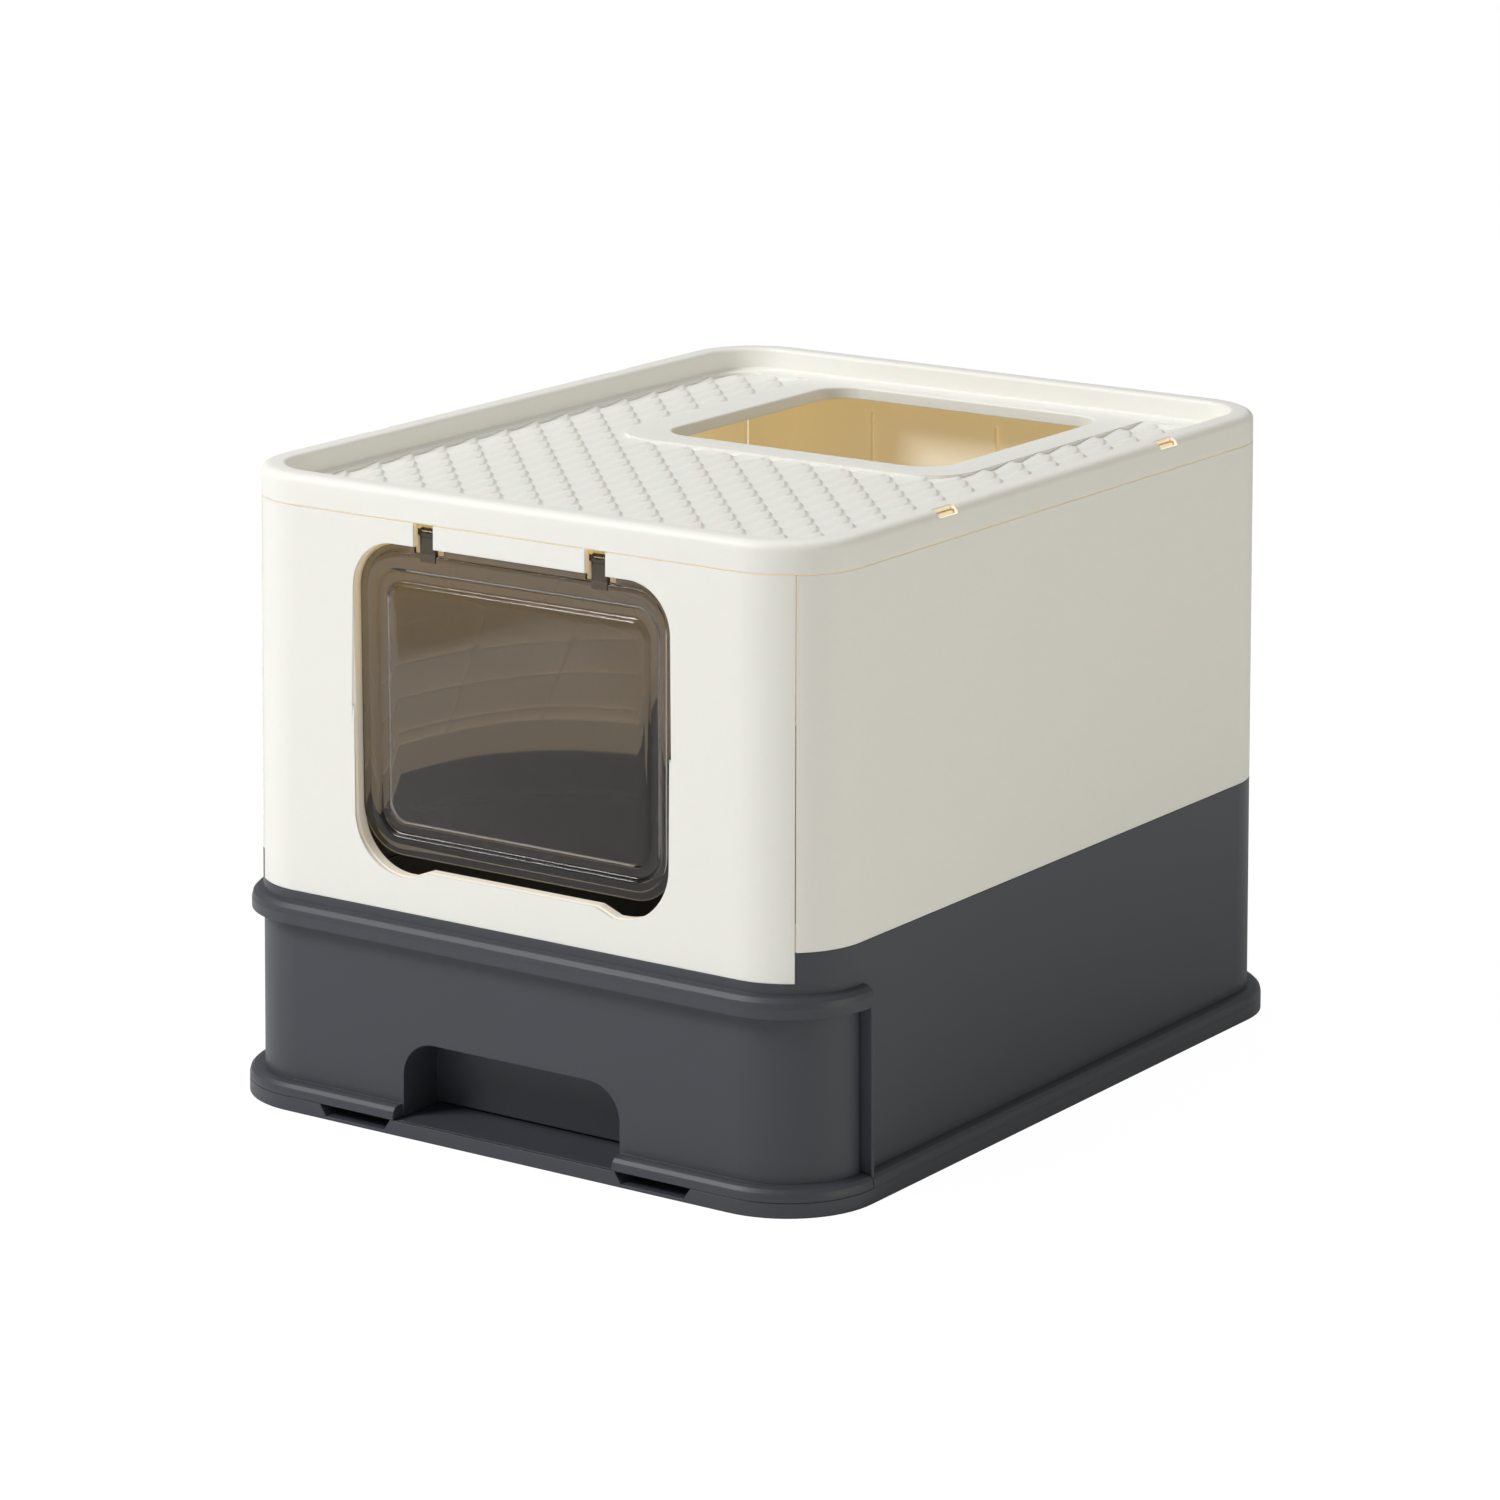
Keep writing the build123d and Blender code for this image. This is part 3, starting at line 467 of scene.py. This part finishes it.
def plastic(name, finish, colour, flow_colour, flow_size):
    """Satin moulded plastic with softened edges and fine grain, from a settings group."""
    material, nodes, links, shader = new_material(name)
    grain = nodes.new("ShaderNodeGroup")
    grain.node_tree = bpy.data.node_groups.get("Moulded grain") or moulded_grain()
    grain.inputs["Grain Size"].default_value = finish.grain_size
    grain.inputs["Flow Size"].default_value = flow_size
    grain.inputs["Colour"].default_value = (*colour, 1.0)
    grain.inputs["Flow Colour"].default_value = (*flow_colour, 1.0)
    grain.inputs["Roughness"].default_value = finish.roughness
    soften = nodes.new("ShaderNodeBevel")
    soften.samples = BEVEL_SAMPLES
    soften.inputs["Radius"].default_value = finish.edge_round
    bump = nodes.new("ShaderNodeBump")
    bump.inputs["Distance"].default_value = finish.grain_depth
    links.new(grain.outputs["Height"], bump.inputs["Height"])
    links.new(soften.outputs["Normal"], bump.inputs["Normal"])
    links.new(bump.outputs["Normal"], shader.inputs["Normal"])
    links.new(grain.outputs["Colour"], shader.inputs["Base Color"])
    links.new(grain.outputs["Roughness"], shader.inputs["Roughness"])
    return material


def ivory(name, top, reach):
    """Ivory plastic with a warm glow painted inside its walls; a lid also has a top skin and a
    reach.
    """
    finish = bpy.context.scene.litter_shell
    lid = bpy.context.scene.litter_lid
    material = plastic(name, finish, finish.cream, finish.warm, SHELL_FLOW)
    nodes, links = material.node_tree.nodes, material.node_tree.links
    shader = nodes["Principled BSDF"]
    shader.inputs["Subsurface Weight"].default_value = finish.scatter
    shader.inputs["Subsurface Scale"].default_value = finish.scatter_reach
    # Painted glow: emission colour that stands in for daylight through the thin walls
    glow = nodes.new("ShaderNodeGroup")
    glow.node_tree = bpy.data.node_groups.get("Painted wall glow") or painted_wall_glow()
    values = {
        "Half Width": (LID_HIGH.x - LID_LOW.x) / 2, "Half Depth": (LID_HIGH.y - LID_LOW.y) / 2,
        "Corner Radius": lid.corner_radius, "Seam Height": LID_LOW.z + lid.seam_gap,
        "Slope": tan(lid.draft), "Top Height": top, "Edge Round": lid.rim_round, "Reach": reach,
        "Low Colour": (*finish.painted_glow_low, 1.0), "High Colour": (*finish.painted_glow_high, 1.0),
        "From Height": finish.glow_from, "To Height": finish.glow_to,
    }
    for label, value in values.items():
        glow.inputs[label].default_value = value
    links.new(glow.outputs["Colour"], shader.inputs["Emission Color"])
    shader.inputs["Emission Strength"].default_value = 1.0
    return material


def dress(node, material):
    """Give a CAD node its finish."""
    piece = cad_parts[node]
    if not piece.material_slots:
        piece.data.materials.append(material)
    for place in piece.material_slots:
        place.material = material


def rounded_loop(width, depth, radius, z, centre=(0.0, 0.0)):
    """Points round a rounded rectangle at a height, the same count for any size."""
    points = []
    for quarter in range(4):
        side_x = 1 if quarter in (0, 3) else -1
        side_y = 1 if quarter in (0, 1) else -1
        middle_x = centre[0] + side_x * (width / 2 - radius)
        middle_y = centre[1] + side_y * (depth / 2 - radius)
        for step in range(CORNER_STEPS + 1):
            angle = (quarter + step / CORNER_STEPS) * pi / 2
            points.append((middle_x + radius * cos(angle), middle_y + radius * sin(angle), z))
    return points


def mesh_object(name, mesh_builder):
    """New mesh object whose bmesh is filled by a function."""
    mesh = bpy.data.meshes.new(name)
    shape = bmesh.new()
    mesh_builder(shape)
    bmesh.ops.recalc_face_normals(shape, faces=shape.faces)
    shape.to_mesh(mesh)
    shape.free()
    piece = bpy.data.objects.new(name, mesh)
    bpy.context.scene.collection.objects.link(piece)
    return piece


def skin(shape, loops, closed):
    """Faces between loops of equal count, back to the first loop if closed."""
    rings = [[shape.verts.new(point) for point in loop] for loop in loops]
    pairs = list(zip(rings, rings[1:]))
    if closed:
        pairs.append((rings[-1], rings[0]))
    for low, high in pairs:
        for here in range(len(low)):
            after = (here + 1) % len(low)
            shape.faces.new((low[here], low[after], high[after], high[here]))
    return rings


def prism(name, loop, z_low, z_high):
    """Closed upright prism over a loop of points."""
    def build(shape):
        levels = [[(x, y, level) for x, y, _ in loop] for level in (z_low, z_high)]
        rings = skin(shape, levels, False)
        shape.faces.new(list(reversed(rings[0])))
        shape.faces.new(rings[1])
    return mesh_object(name, build)


def cut(piece, tool, operation):
    """Boolean of a piece with a tool, which is then deleted."""
    modifier = piece.modifiers.new("Cut", "BOOLEAN")
    modifier.operation = operation
    modifier.object = tool
    modifier.solver = "MANIFOLD"
    with bpy.context.temp_override(object=piece, active_object=piece):
        bpy.ops.object.modifier_apply(modifier=modifier.name)
    bpy.data.objects.remove(tool)


def smooth_by_angle(piece, angle):
    """Smooth shading with creases kept sharp above an angle."""
    shape = bmesh.new()
    shape.from_mesh(piece.data)
    for face in shape.faces:
        face.smooth = True
    for edge in shape.edges:
        edge.smooth = len(edge.link_faces) == 2 and edge.calc_face_angle(0.0) < angle
    shape.to_mesh(piece.data)
    shape.free()


class LidShape:
    """Heights and outlines of the lid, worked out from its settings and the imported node."""

    def __init__(self, lid):
        self.lid = lid
        self.width = LID_HIGH.x - LID_LOW.x
        self.depth = LID_HIGH.y - LID_LOW.y
        self.top = LID_HIGH.z
        self.bottom = LID_LOW.z + lid.seam_gap
        self.floor = self.top - lid.basin_depth
        self.under = self.floor - lid.floor_thickness
        self.basin_edge = lid.rim_width + lid.basin_depth * tan(lid.basin_draft)

    def ring(self, inset, z):
        """Loop that follows the lid's outline at an inset from it."""
        radius = self.lid.corner_radius - inset
        return rounded_loop(self.width - 2 * inset, self.depth - 2 * inset, radius, z)

    def hole(self, grow, z):
        """Loop round the entry hole, grown outward."""
        lid = self.lid
        centre = (0.0, lid.hole_front + lid.hole_length / 2)
        width, length = lid.hole_width + 2 * grow, lid.hole_length + 2 * grow
        return rounded_loop(width, length, lid.hole_radius + grow, z, centre)

    def outer_inset(self, z):
        """Inset of the drafted outer wall at a height: none at the lid's lower edge."""
        return (z - self.bottom) * tan(self.lid.draft)

    def loops(self):
        """All loops of the lid's skin, from its lower edge over the rim and floor and back."""
        lid = self.lid
        loops = [self.ring(0, self.bottom)]

        # Outer and inner round of the rim
        for step in range(ROUND_STEPS + 1):
            angle = step / ROUND_STEPS * pi / 2
            inset = self.outer_inset(self.top) + lid.rim_round * (1 - cos(angle))
            loops.append(self.ring(inset, self.top - lid.rim_round * (1 - sin(angle))))
        for step in range(ROUND_STEPS + 1):
            angle = step / ROUND_STEPS * (pi / 2 - lid.basin_draft)
            inset = lid.rim_width - lid.inner_round * (1 - sin(angle))
            loops.append(self.ring(inset, self.top - lid.inner_round * (1 - cos(angle))))

        # Foot of the basin's wall, and the upper edge of the entry hole
        for step in range(ROUND_STEPS + 1):
            angle = step / ROUND_STEPS * (pi / 2 - lid.basin_draft)
            inset = self.basin_edge + lid.floor_round * (sin(angle) - cos(lid.basin_draft))
            rise = lid.floor_round * (1 - sin(lid.basin_draft)) * (1 - sin(angle))
            loops.append(self.ring(inset, self.floor + rise))
        for step in range(ROUND_STEPS + 1):
            angle = step / ROUND_STEPS * pi / 2
            grow = lid.hole_round * (1 - sin(angle))
            loops.append(self.hole(grow, self.floor - lid.hole_round * (1 - cos(angle))))

        # Lip round the hole, then the underside of the floor and the inside of the rim
        lip_low = self.floor - lid.hole_lip
        loops.append(self.hole(0, lip_low))
        loops.append(self.hole(lid.hole_lip_wall, lip_low))
        loops.append(self.hole(lid.hole_lip_wall, self.under))
        loops.append(self.ring(self.basin_edge - lid.wall, self.under))
        loops.append(self.ring(lid.rim_width - lid.wall, self.top - lid.wall))
        loops.append(self.ring(lid.wall + self.outer_inset(self.top), self.top - lid.wall))
        loops.append(self.ring(lid.wall, self.bottom))
        return loops

    def pattern_loop(self):
        """Outline of the whole scale pattern."""
        lid = self.lid
        edge = self.basin_edge + lid.pattern_side
        front = -self.depth / 2 + edge
        centre = (0.0, (front + lid.pattern_rear) / 2)
        length = lid.pattern_rear - front
        return rounded_loop(self.width - 2 * edge, length, lid.pattern_radius, 0.0, centre)

    def margin_loop(self):
        """Outline of the flat margin round the entry hole, open to the rear."""
        lid = self.lid
        front = lid.hole_front - lid.margin
        rear = lid.pattern_rear + 2 * lid.margin_radius
        centre = (0.0, (front + rear) / 2)
        width = lid.hole_width + 2 * lid.margin
        return rounded_loop(width, rear - front, lid.margin_radius, 0.0, centre)

    def scale_edges(self, x, rows):
        """Each row's rear edge at one X, the length of its fall along Y, and X across the scale."""
        lid = self.lid
        steepness = 2 * lid.scale_power * lid.scale_row / lid.scale_pitch
        edges = []
        for row in range(rows):
            shift = x / lid.scale_pitch + (row % 2) / 2
            across = 2 * abs(shift - round(shift))
            tip = -self.depth / 2 + (row + 0.5) * lid.scale_row
            lead = steepness * across ** (lid.scale_power - 1)
            fall = lid.scale_fall * (lid.tip_fall + across) * sqrt(1 + lead ** 2)
            edges.append((tip - lid.scale_row * across ** lid.scale_power, fall, across))
        return edges

    def scale_height(self, y, edges):
        """Height of the scales' surface: it rises to each edge and falls there in a soft step."""
        lid = self.lid
        slope = tan(lid.scale_tilt)
        start = -self.depth / 2 + lid.scale_row / 2 - SCALE_LEAD * lid.scale_fall
        height = self.floor + (y - start) * slope
        side = edges[0][2] ** 2
        for row, (edge, fall, across) in enumerate(edges):
            passed = min(max((y - edge) / fall + 1, 0.0), 1.0)
            passed = passed * passed * (3 - 2 * passed)
            height -= lid.scale_row * slope * passed
            if row + 1 < len(edges):
                side += (edges[row + 1][2] ** 2 - across ** 2) * passed
        return height - lid.scale_crown * side

    def scale_column(self, x, rows):
        """Points of the scales' surface along Y at one X, from front to back."""
        edges = self.scale_edges(x, rows)
        places = sorted(
            edge + part * fall for edge, fall, _ in edges for part in SCALE_FALL_SHARES)
        for here in range(1, len(places)):
            places[here] = max(places[here], places[here - 1] + LEAST_STEP)
        return [(x, y, self.scale_height(y, edges)) for y in places]


def scales_above(shape_of):
    """Closed block of air whose underside is the surface of the scales."""
    lid = shape_of.lid
    rows = ceil((lid.pattern_rear + shape_of.depth / 2) / lid.scale_row) + SPARE_SCALE_ROWS
    step = lid.scale_pitch / SCALE_COLUMN_STEPS
    half = ceil(shape_of.width / 2 / step)

    def build(shape):
        grid = []
        for column in range(-half, half + 1):
            grid.append([shape.verts.new(p) for p in shape_of.scale_column(column * step, rows)])
        for left, right in zip(grid, grid[1:]):
            for here in range(len(left) - 1):
                shape.faces.new((left[here], left[here + 1], right[here + 1], right[here]))
        edges = [edge for edge in shape.edges if len(edge.link_faces) == 1]
        raised = bmesh.ops.extrude_edge_only(shape, edges=edges)["geom"]
        rim = [item for item in raised if isinstance(item, bmesh.types.BMVert)]
        for vert in rim:
            vert.co.z = shape_of.top + CUT_PAST
        rim_edges = [item for item in raised if isinstance(item, bmesh.types.BMEdge)]
        rim_edges = [e for e in rim_edges if all(v in set(rim) for v in e.verts)]
        bmesh.ops.contextual_create(shape, geom=rim_edges)
    return mesh_object("scale_air", build)


def lid_ribs(shape_of):
    """Stiffening ribs under the lid's floor, clear of the entry hole."""
    lid = shape_of.lid
    low = LID_LOW.z
    high = shape_of.under + lid.rib / 2
    side = shape_of.width / 2 - shape_of.basin_edge + lid.wall / 2
    end = shape_of.depth / 2 - shape_of.basin_edge + lid.wall / 2
    edge_x = lid.hole_width / 2 + lid.margin
    edge_y = lid.hole_front - lid.margin
    runs = [(-edge_x, -end, -edge_x, end), (0, -end, 0, edge_y), (edge_x, -end, edge_x, end)]
    rows = [shape_of.depth * place for place in LID_RIB_PLACES] + [edge_y]
    runs += [(-side, y, side, y) for y in rows]
    pieces = []
    for x0, y0, x1, y1 in runs:
        grow_x = lid.rib / 2 if x0 == x1 else 0.0
        grow_y = lid.rib / 2 if y0 == y1 else 0.0
        loop = [(x0 - grow_x, y0 - grow_y, 0), (x1 + grow_x, y0 - grow_y, 0),
                (x1 + grow_x, y1 + grow_y, 0), (x0 - grow_x, y1 + grow_y, 0)]
        pieces.append(prism("lid_rib", loop, low, high))
    return pieces


def scaled_lid():
    """The whole lid: hollow rim, sunk floor with rounded scales, lipped hole and catch slots."""
    shape_of = LidShape(bpy.context.scene.litter_lid)
    lid = shape_of.lid
    piece = mesh_object("scaled_lid", lambda shape: skin(shape, shape_of.loops(), True))
    air = scales_above(shape_of)
    low, high = shape_of.under, shape_of.top + 2 * CUT_PAST
    cut(air, prism("pattern", shape_of.pattern_loop(), low, high), "INTERSECT")
    cut(air, prism("margin", shape_of.margin_loop(), low, high + CUT_PAST), "DIFFERENCE")
    cut(piece, air, "DIFFERENCE")
    for rib in lid_ribs(shape_of):
        cut(piece, rib, "UNION")
    half = lid.slot_width / 2
    for side in (-1, 1):
        inner = side * (shape_of.width / 2 - lid.slot_inset)
        outer = side * (shape_of.width / 2 + CUT_PAST)
        for y in (-lid.catch_position, lid.catch_position):
            front, rear = y - half, y + half
            loop = [(inner, front, 0), (outer, front, 0), (outer, rear, 0), (inner, rear, 0)]
            slot = prism("slot", loop, shape_of.top - lid.slot_depth, shape_of.top + CUT_PAST)
            cut(piece, slot, "DIFFERENCE")
    smooth_by_angle(piece, LID_CREASE)
    return piece


def eased(start, end):
    """Points of a soft step between two points of a profile, without its start."""
    run, drop = end[0] - start[0], end[1] - start[1]
    points = []
    for step in range(1, EASE_STEPS + 1):
        done = step / EASE_STEPS
        points.append((start[0] + run * done, start[1] + drop * ((1 - cos(pi * done)) / 2)))
    return points


class FlapShape:
    """Outlines and profile of the flap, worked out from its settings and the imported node."""

    def __init__(self, flap):
        self.flap = flap
        self.width = FLAP_HIGH.x - FLAP_LOW.x + 2 * flap.side_grow
        self.front = FLAP_LOW.y + flap.front_inset
        self.low = FLAP_LOW.z + flap.foot_lift
        self.top = self.low + flap.height
        self.pin_y = FLAP_LOW.y + flap.barrel_radius
        self.pin_z = FLAP_HIGH.z - flap.barrel_radius

    def outline(self, inset, depth, rise=0.0):
        """Upright loop at an inset from the flap's edge, at a depth, with its top raised."""
        flap = self.flap
        radius = max(flap.corner_radius - inset, flap.panel_radius)
        low, high = self.low + inset, self.top - inset + rise
        centre = (0.0, (low + high) / 2)
        loop = rounded_loop(self.width - 2 * inset, high - low, radius, 0.0, centre)
        return [(x, self.front + depth, z) for x, z, _ in loop]

    def channel(self, depth, wall):
        """Profile of the channel: down into it, along it and up to the middle panel."""
        flap = self.flap
        low = flap.channel_inset - wall
        high = flap.channel_inset + flap.channel_width + wall
        floor = depth + flap.channel_depth
        points = [(low, depth)] + eased((low, depth), (low + flap.channel_slope, floor))
        points.append((high - flap.channel_slope, floor))
        return points + eased((high - flap.channel_slope, floor), (high, depth))

    def loops(self):
        """All loops of the flap's skin, from the back's middle round the edge to the front's."""
        flap = self.flap
        back = list(reversed(self.channel(flap.thickness, flap.channel_wall)))
        turns = [step / ROUND_STEPS * pi / 2 for step in range(ROUND_STEPS + 1)]
        curve = [(flap.edge_round * (1 - cos(a)), flap.edge_round * (1 - sin(a))) for a in turns]
        edge = [(inset, flap.thickness - depth) for inset, depth in reversed(curve)]
        edge += [(inset, flap.lip_drop + depth) for inset, depth in curve]
        lip = (flap.lip_width, flap.lip_drop)
        rim = [lip] + eased(lip, (flap.lip_width + flap.lip_drop, 0.0))
        loops = [self.outline(*point) for point in back]
        loops += [self.outline(*point, flap.strip_height) for point in edge]
        loops += [self.outline(*point, flap.lip_width) for point in rim]
        return loops + [self.outline(*point) for point in self.channel(0.0, 0.0)]


def smoked(name, tint):
    """Smoked clear plastic of a tint, with faint wiped streaks, that lets light through."""
    finish = bpy.context.scene.litter_flap
    material, nodes, links, shader = new_material(name)
    shader.inputs["Base Color"].default_value = (*tint, 1.0)
    shader.inputs["Transmission Weight"].default_value = 1.0
    shader.inputs["IOR"].default_value = FLAP_IOR
    grain = nodes.new("ShaderNodeGroup")
    grain.node_tree = bpy.data.node_groups.get("Moulded grain") or moulded_grain()
    grain.inputs["Grain Size"].default_value = FLAP_GRAIN
    grain.inputs["Flow Size"].default_value = FLAP_FLOW
    grain.inputs["Roughness"].default_value = finish.roughness
    grain.inputs["Roughness Change"].default_value = finish.haze
    links.new(grain.outputs["Roughness"], shader.inputs["Roughness"])
    clear = nodes.new("ShaderNodeBsdfTransparent")
    clear.inputs["Color"].default_value = (*tint, 1.0)
    split_rays(material.node_tree, "Material Output", "Is Shadow Ray", shader, clear)
    return material


def rod(name, x_low, x_high, place, radius, edge):
    """Round rod along X with broken ends."""
    middle_y, middle_z = place
    rings = [(x_low, radius - edge), (x_low + edge, radius),
             (x_high - edge, radius), (x_high, radius - edge)]
    turns = [2 * pi * step / ROD_STEPS for step in range(ROD_STEPS)]

    def build(shape):
        loops = []
        for x, size in rings:
            loops.append([(x, middle_y + size * cos(a), middle_z + size * sin(a)) for a in turns])
        ends = skin(shape, loops, False)
        shape.faces.new(ends[0])
        shape.faces.new(ends[-1])
    return mesh_object(name, build)


def smoked_flap():
    """The clear flap: rim with its low lip, channel, raised panel, straps, barrels and pins."""
    shape_of = FlapShape(bpy.context.scene.litter_flap)
    flap = shape_of.flap

    def build(shape):
        rings = skin(shape, shape_of.loops(), False)
        shape.faces.new(rings[0])
        shape.faces.new(rings[-1])
    piece = mesh_object("smoked_flap", build)
    notch_low = shape_of.top + flap.channel_wall / 2
    strap_front = FLAP_LOW.y + flap.strap_inset
    strap_back = shape_of.front + flap.thickness
    strap_depth = strap_back - strap_front
    strap_low = shape_of.top - flap.strap_foot
    pin_place = (shape_of.pin_y, shape_of.pin_z)
    rods = (("barrel", flap.strap_width, flap.barrel_radius),
            ("pin", flap.pin_length, flap.pin_radius))
    for side in (-1, 1):
        x = side * flap.strap_place
        depth = NOTCH_REACH * flap.thickness
        loop = rounded_loop(flap.notch_width, depth, flap.thickness, 0.0, (x, shape_of.front))
        cut(piece, prism("notch", loop, notch_low, shape_of.top + CUT_PAST), "DIFFERENCE")
        centre = (x, (strap_front + strap_back) / 2)
        loop = rounded_loop(flap.strap_width, strap_depth, flap.strap_round, 0.0, centre)
        cut(piece, prism("strap", loop, strap_low, shape_of.pin_z), "UNION")
        for name, length, radius in rods:
            x_low, x_high = x - length / 2, x + length / 2
            cut(piece, rod(name, x_low, x_high, pin_place, radius, flap.edge_round / 2), "UNION")
    smooth_by_angle(piece, FLAP_CREASE)
    piece.data.materials.clear()
    piece.data.materials.append(smoked("Smoked plastic", flap.smoke))
    piece.data.materials.append(smoked("Smoked strap plastic", flap.strap_smoke))
    for face in piece.data.polygons:
        in_front = face.center.y < shape_of.front - LEAST_STEP
        face.material_index = int(in_front or face.center.z > shape_of.top + flap.strip_height)
    return piece


class LITTER_OT_shell(bpy.types.Operator):
    """Give the four wall panels their ivory plastic"""

    bl_idname = "litter.shell"
    bl_label = "Dress Wall Panels"

    def execute(self, context):
        material = ivory("Ivory wall plastic", NO_LIMIT, NO_LIMIT)
        for node in SHELL_NODES:
            dress(node, material)
        return {"FINISHED"}


class LITTER_OT_lid(bpy.types.Operator):
    """Build the lid with its rounded scales in place of the plain one"""

    bl_idname = "litter.lid"
    bl_label = "Build Scaled Lid"

    def execute(self, context):
        lid = context.scene.litter_lid
        piece = scaled_lid()
        material = ivory("Ivory lid plastic", LID_HIGH.z, lid.slot_inset + lid.rib / 2)
        piece.data.materials.clear()
        piece.data.materials.append(material)
        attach(piece, "lid")
        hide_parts("lid")
        return {"FINISHED"}


class LITTER_OT_base(bpy.types.Operator):
    """Give the lower body, bottom plate and drawer their slate plastic"""

    bl_idname = "litter.base"
    bl_label = "Dress Base and Drawer"

    def execute(self, context):
        finish = context.scene.litter_base
        material = plastic("Slate plastic", finish, finish.slate, finish.faded, BASE_FLOW)
        shader = material.node_tree.nodes["Principled BSDF"]
        shader.inputs["Specular IOR Level"].default_value = BASE_SPECULAR
        for node in BASE_NODES:
            dress(node, material)
        return {"FINISHED"}


class LITTER_OT_flap(bpy.types.Operator):
    """Build the smoked flap with its rounded channel in place of the plain one"""

    bl_idname = "litter.flap"
    bl_label = "Build Flap"

    def execute(self, context):
        piece = smoked_flap()
        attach(piece, "flap")
        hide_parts("flap_door")
        return {"FINISHED"}


def softbox(name, place, target, size, power, colour=(1.0, 1.0, 1.0)):
    """Softbox of a width and height that faces a target point."""
    light = bpy.data.lights.new(name, "AREA")
    light.shape = "RECTANGLE"
    light.size, light.size_y = size
    light.energy = power
    light.color = colour
    lamp = bpy.data.objects.new(name, light)
    lamp.location = place
    lamp.rotation_euler = (Vector(target) - Vector(place)).to_track_quat("-Z", "Y").to_euler()
    bpy.context.scene.collection.objects.link(lamp)


def white_room(strength, flare):
    """World that lights softly and shows the camera a washed-out white backdrop."""
    world = bpy.data.worlds.new("White room")
    world.use_nodes = True
    soft = world.node_tree.nodes["Background"]
    soft.inputs["Color"].default_value = (1.0, 1.0, 1.0, 1.0)
    soft.inputs["Strength"].default_value = strength
    backdrop = world.node_tree.nodes.new("ShaderNodeBackground")
    backdrop.inputs["Color"].default_value = (1.0, 1.0, 1.0, 1.0)
    backdrop.inputs["Strength"].default_value = flare
    split_rays(world.node_tree, "World Output", "Is Camera Ray", soft, backdrop)
    return world


def pale_floor(stage):
    """Wide floor whose shade is mostly washed out for the camera."""
    half = stage.floor_size / 2

    def build(shape):
        corners = [(-half, -half, 0), (half, -half, 0), (half, half, 0), (-half, half, 0)]
        shape.faces.new([shape.verts.new(corner) for corner in corners])
    floor = mesh_object("studio_floor", build)
    material, nodes, _, shader = new_material("Pale floor")
    shader.inputs["Base Color"].default_value = FLOOR_COLOUR
    shader.inputs["Roughness"].default_value = FLOOR_ROUGHNESS
    shader.inputs["Specular IOR Level"].default_value = FLOOR_SPECULAR
    glow = nodes.new("ShaderNodeEmission")
    glow.inputs["Strength"].default_value = stage.flare
    split_rays(material.node_tree, "Material Output", "Is Camera Ray", shader, glow,
               stage.floor_lift)
    floor.data.materials.append(material)
    return floor


def photo_camera(stage):
    """Camera at the photo's place and angle."""
    view = bpy.data.cameras.new("Photo camera")
    view.sensor_width = SENSOR_WIDTH
    view.lens = stage.lens
    view.clip_end = VIEW_REACH
    camera = bpy.data.objects.new("Photo camera", view)
    aim = Matrix.Rotation(stage.camera_yaw, 4, "Z")
    aim = aim @ Matrix.Rotation(pi / 2 - stage.camera_pitch, 4, "X")
    aim = aim @ Matrix.Rotation(stage.camera_roll, 4, "Z")
    camera.matrix_world = Matrix.Translation(stage.camera_place) @ aim
    bpy.context.scene.collection.objects.link(camera)
    return camera


class LITTER_OT_stage(bpy.types.Operator):
    """Set the pale floor, the soft studio light and the camera"""

    bl_idname = "litter.stage"
    bl_label = "Set Stage"

    def execute(self, context):
        stage = context.scene.litter_stage
        pale_floor(stage)
        context.scene.world = white_room(stage.world_strength, stage.flare)
        middle = (0.0, 0.0, LID_HIGH.z / 2)
        softbox("Key softbox", KEY_PLACE, middle, KEY_SIZE, stage.key_power)
        softbox("Top softbox", TOP_PLACE, middle, TOP_SIZE, stage.top_power)
        softbox("Fill softbox", FILL_PLACE, middle, FILL_SIZE, stage.fill_power, stage.fill_colour)
        context.scene.camera = photo_camera(stage)
        context.scene.view_settings.view_transform = "Standard"
        return {"FINISHED"}


class LITTER_PT_panel(bpy.types.Panel):
    """Lists the litter box's pieces and their settings"""

    bl_idname = "LITTER_PT_panel"
    bl_label = "Litter Box"
    bl_space_type = "VIEW_3D"
    bl_region_type = "UI"
    bl_category = "Litter Box"

    def draw(self, context):
        for operator, group in PIECES:
            box = self.layout.box()
            box.operator(operator.bl_idname)
            settings = getattr(context.scene, group)
            for name in settings.__annotations__:
                box.prop(settings, name)


PIECES = (
    (LITTER_OT_stage, "litter_stage"),
    (LITTER_OT_shell, "litter_shell"),
    (LITTER_OT_base, "litter_base"),
    (LITTER_OT_lid, "litter_lid"),
    (LITTER_OT_flap, "litter_flap"),
)
GROUPS = {
    "litter_stage": StageSettings,
    "litter_shell": ShellSettings,
    "litter_base": BaseSettings,
    "litter_lid": LidSettings,
    "litter_flap": FlapSettings,
}


def register():
    for name, group in GROUPS.items():
        bpy.utils.register_class(group)
        setattr(bpy.types.Scene, name, bpy.props.PointerProperty(type=group))
    for operator, group in PIECES:
        bpy.utils.register_class(operator)
    bpy.utils.register_class(LITTER_PT_panel)


def unregister():
    bpy.utils.unregister_class(LITTER_PT_panel)
    for operator, group in reversed(PIECES):
        bpy.utils.unregister_class(operator)
    for name, group in GROUPS.items():
        delattr(bpy.types.Scene, name)
        bpy.utils.unregister_class(group)


def main():
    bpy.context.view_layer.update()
    register()
    bpy.ops.litter.stage()
    bpy.ops.litter.shell()
    bpy.ops.litter.base()
    bpy.ops.litter.lid()
    bpy.ops.litter.flap()


if __name__ == "__main__":
    main()
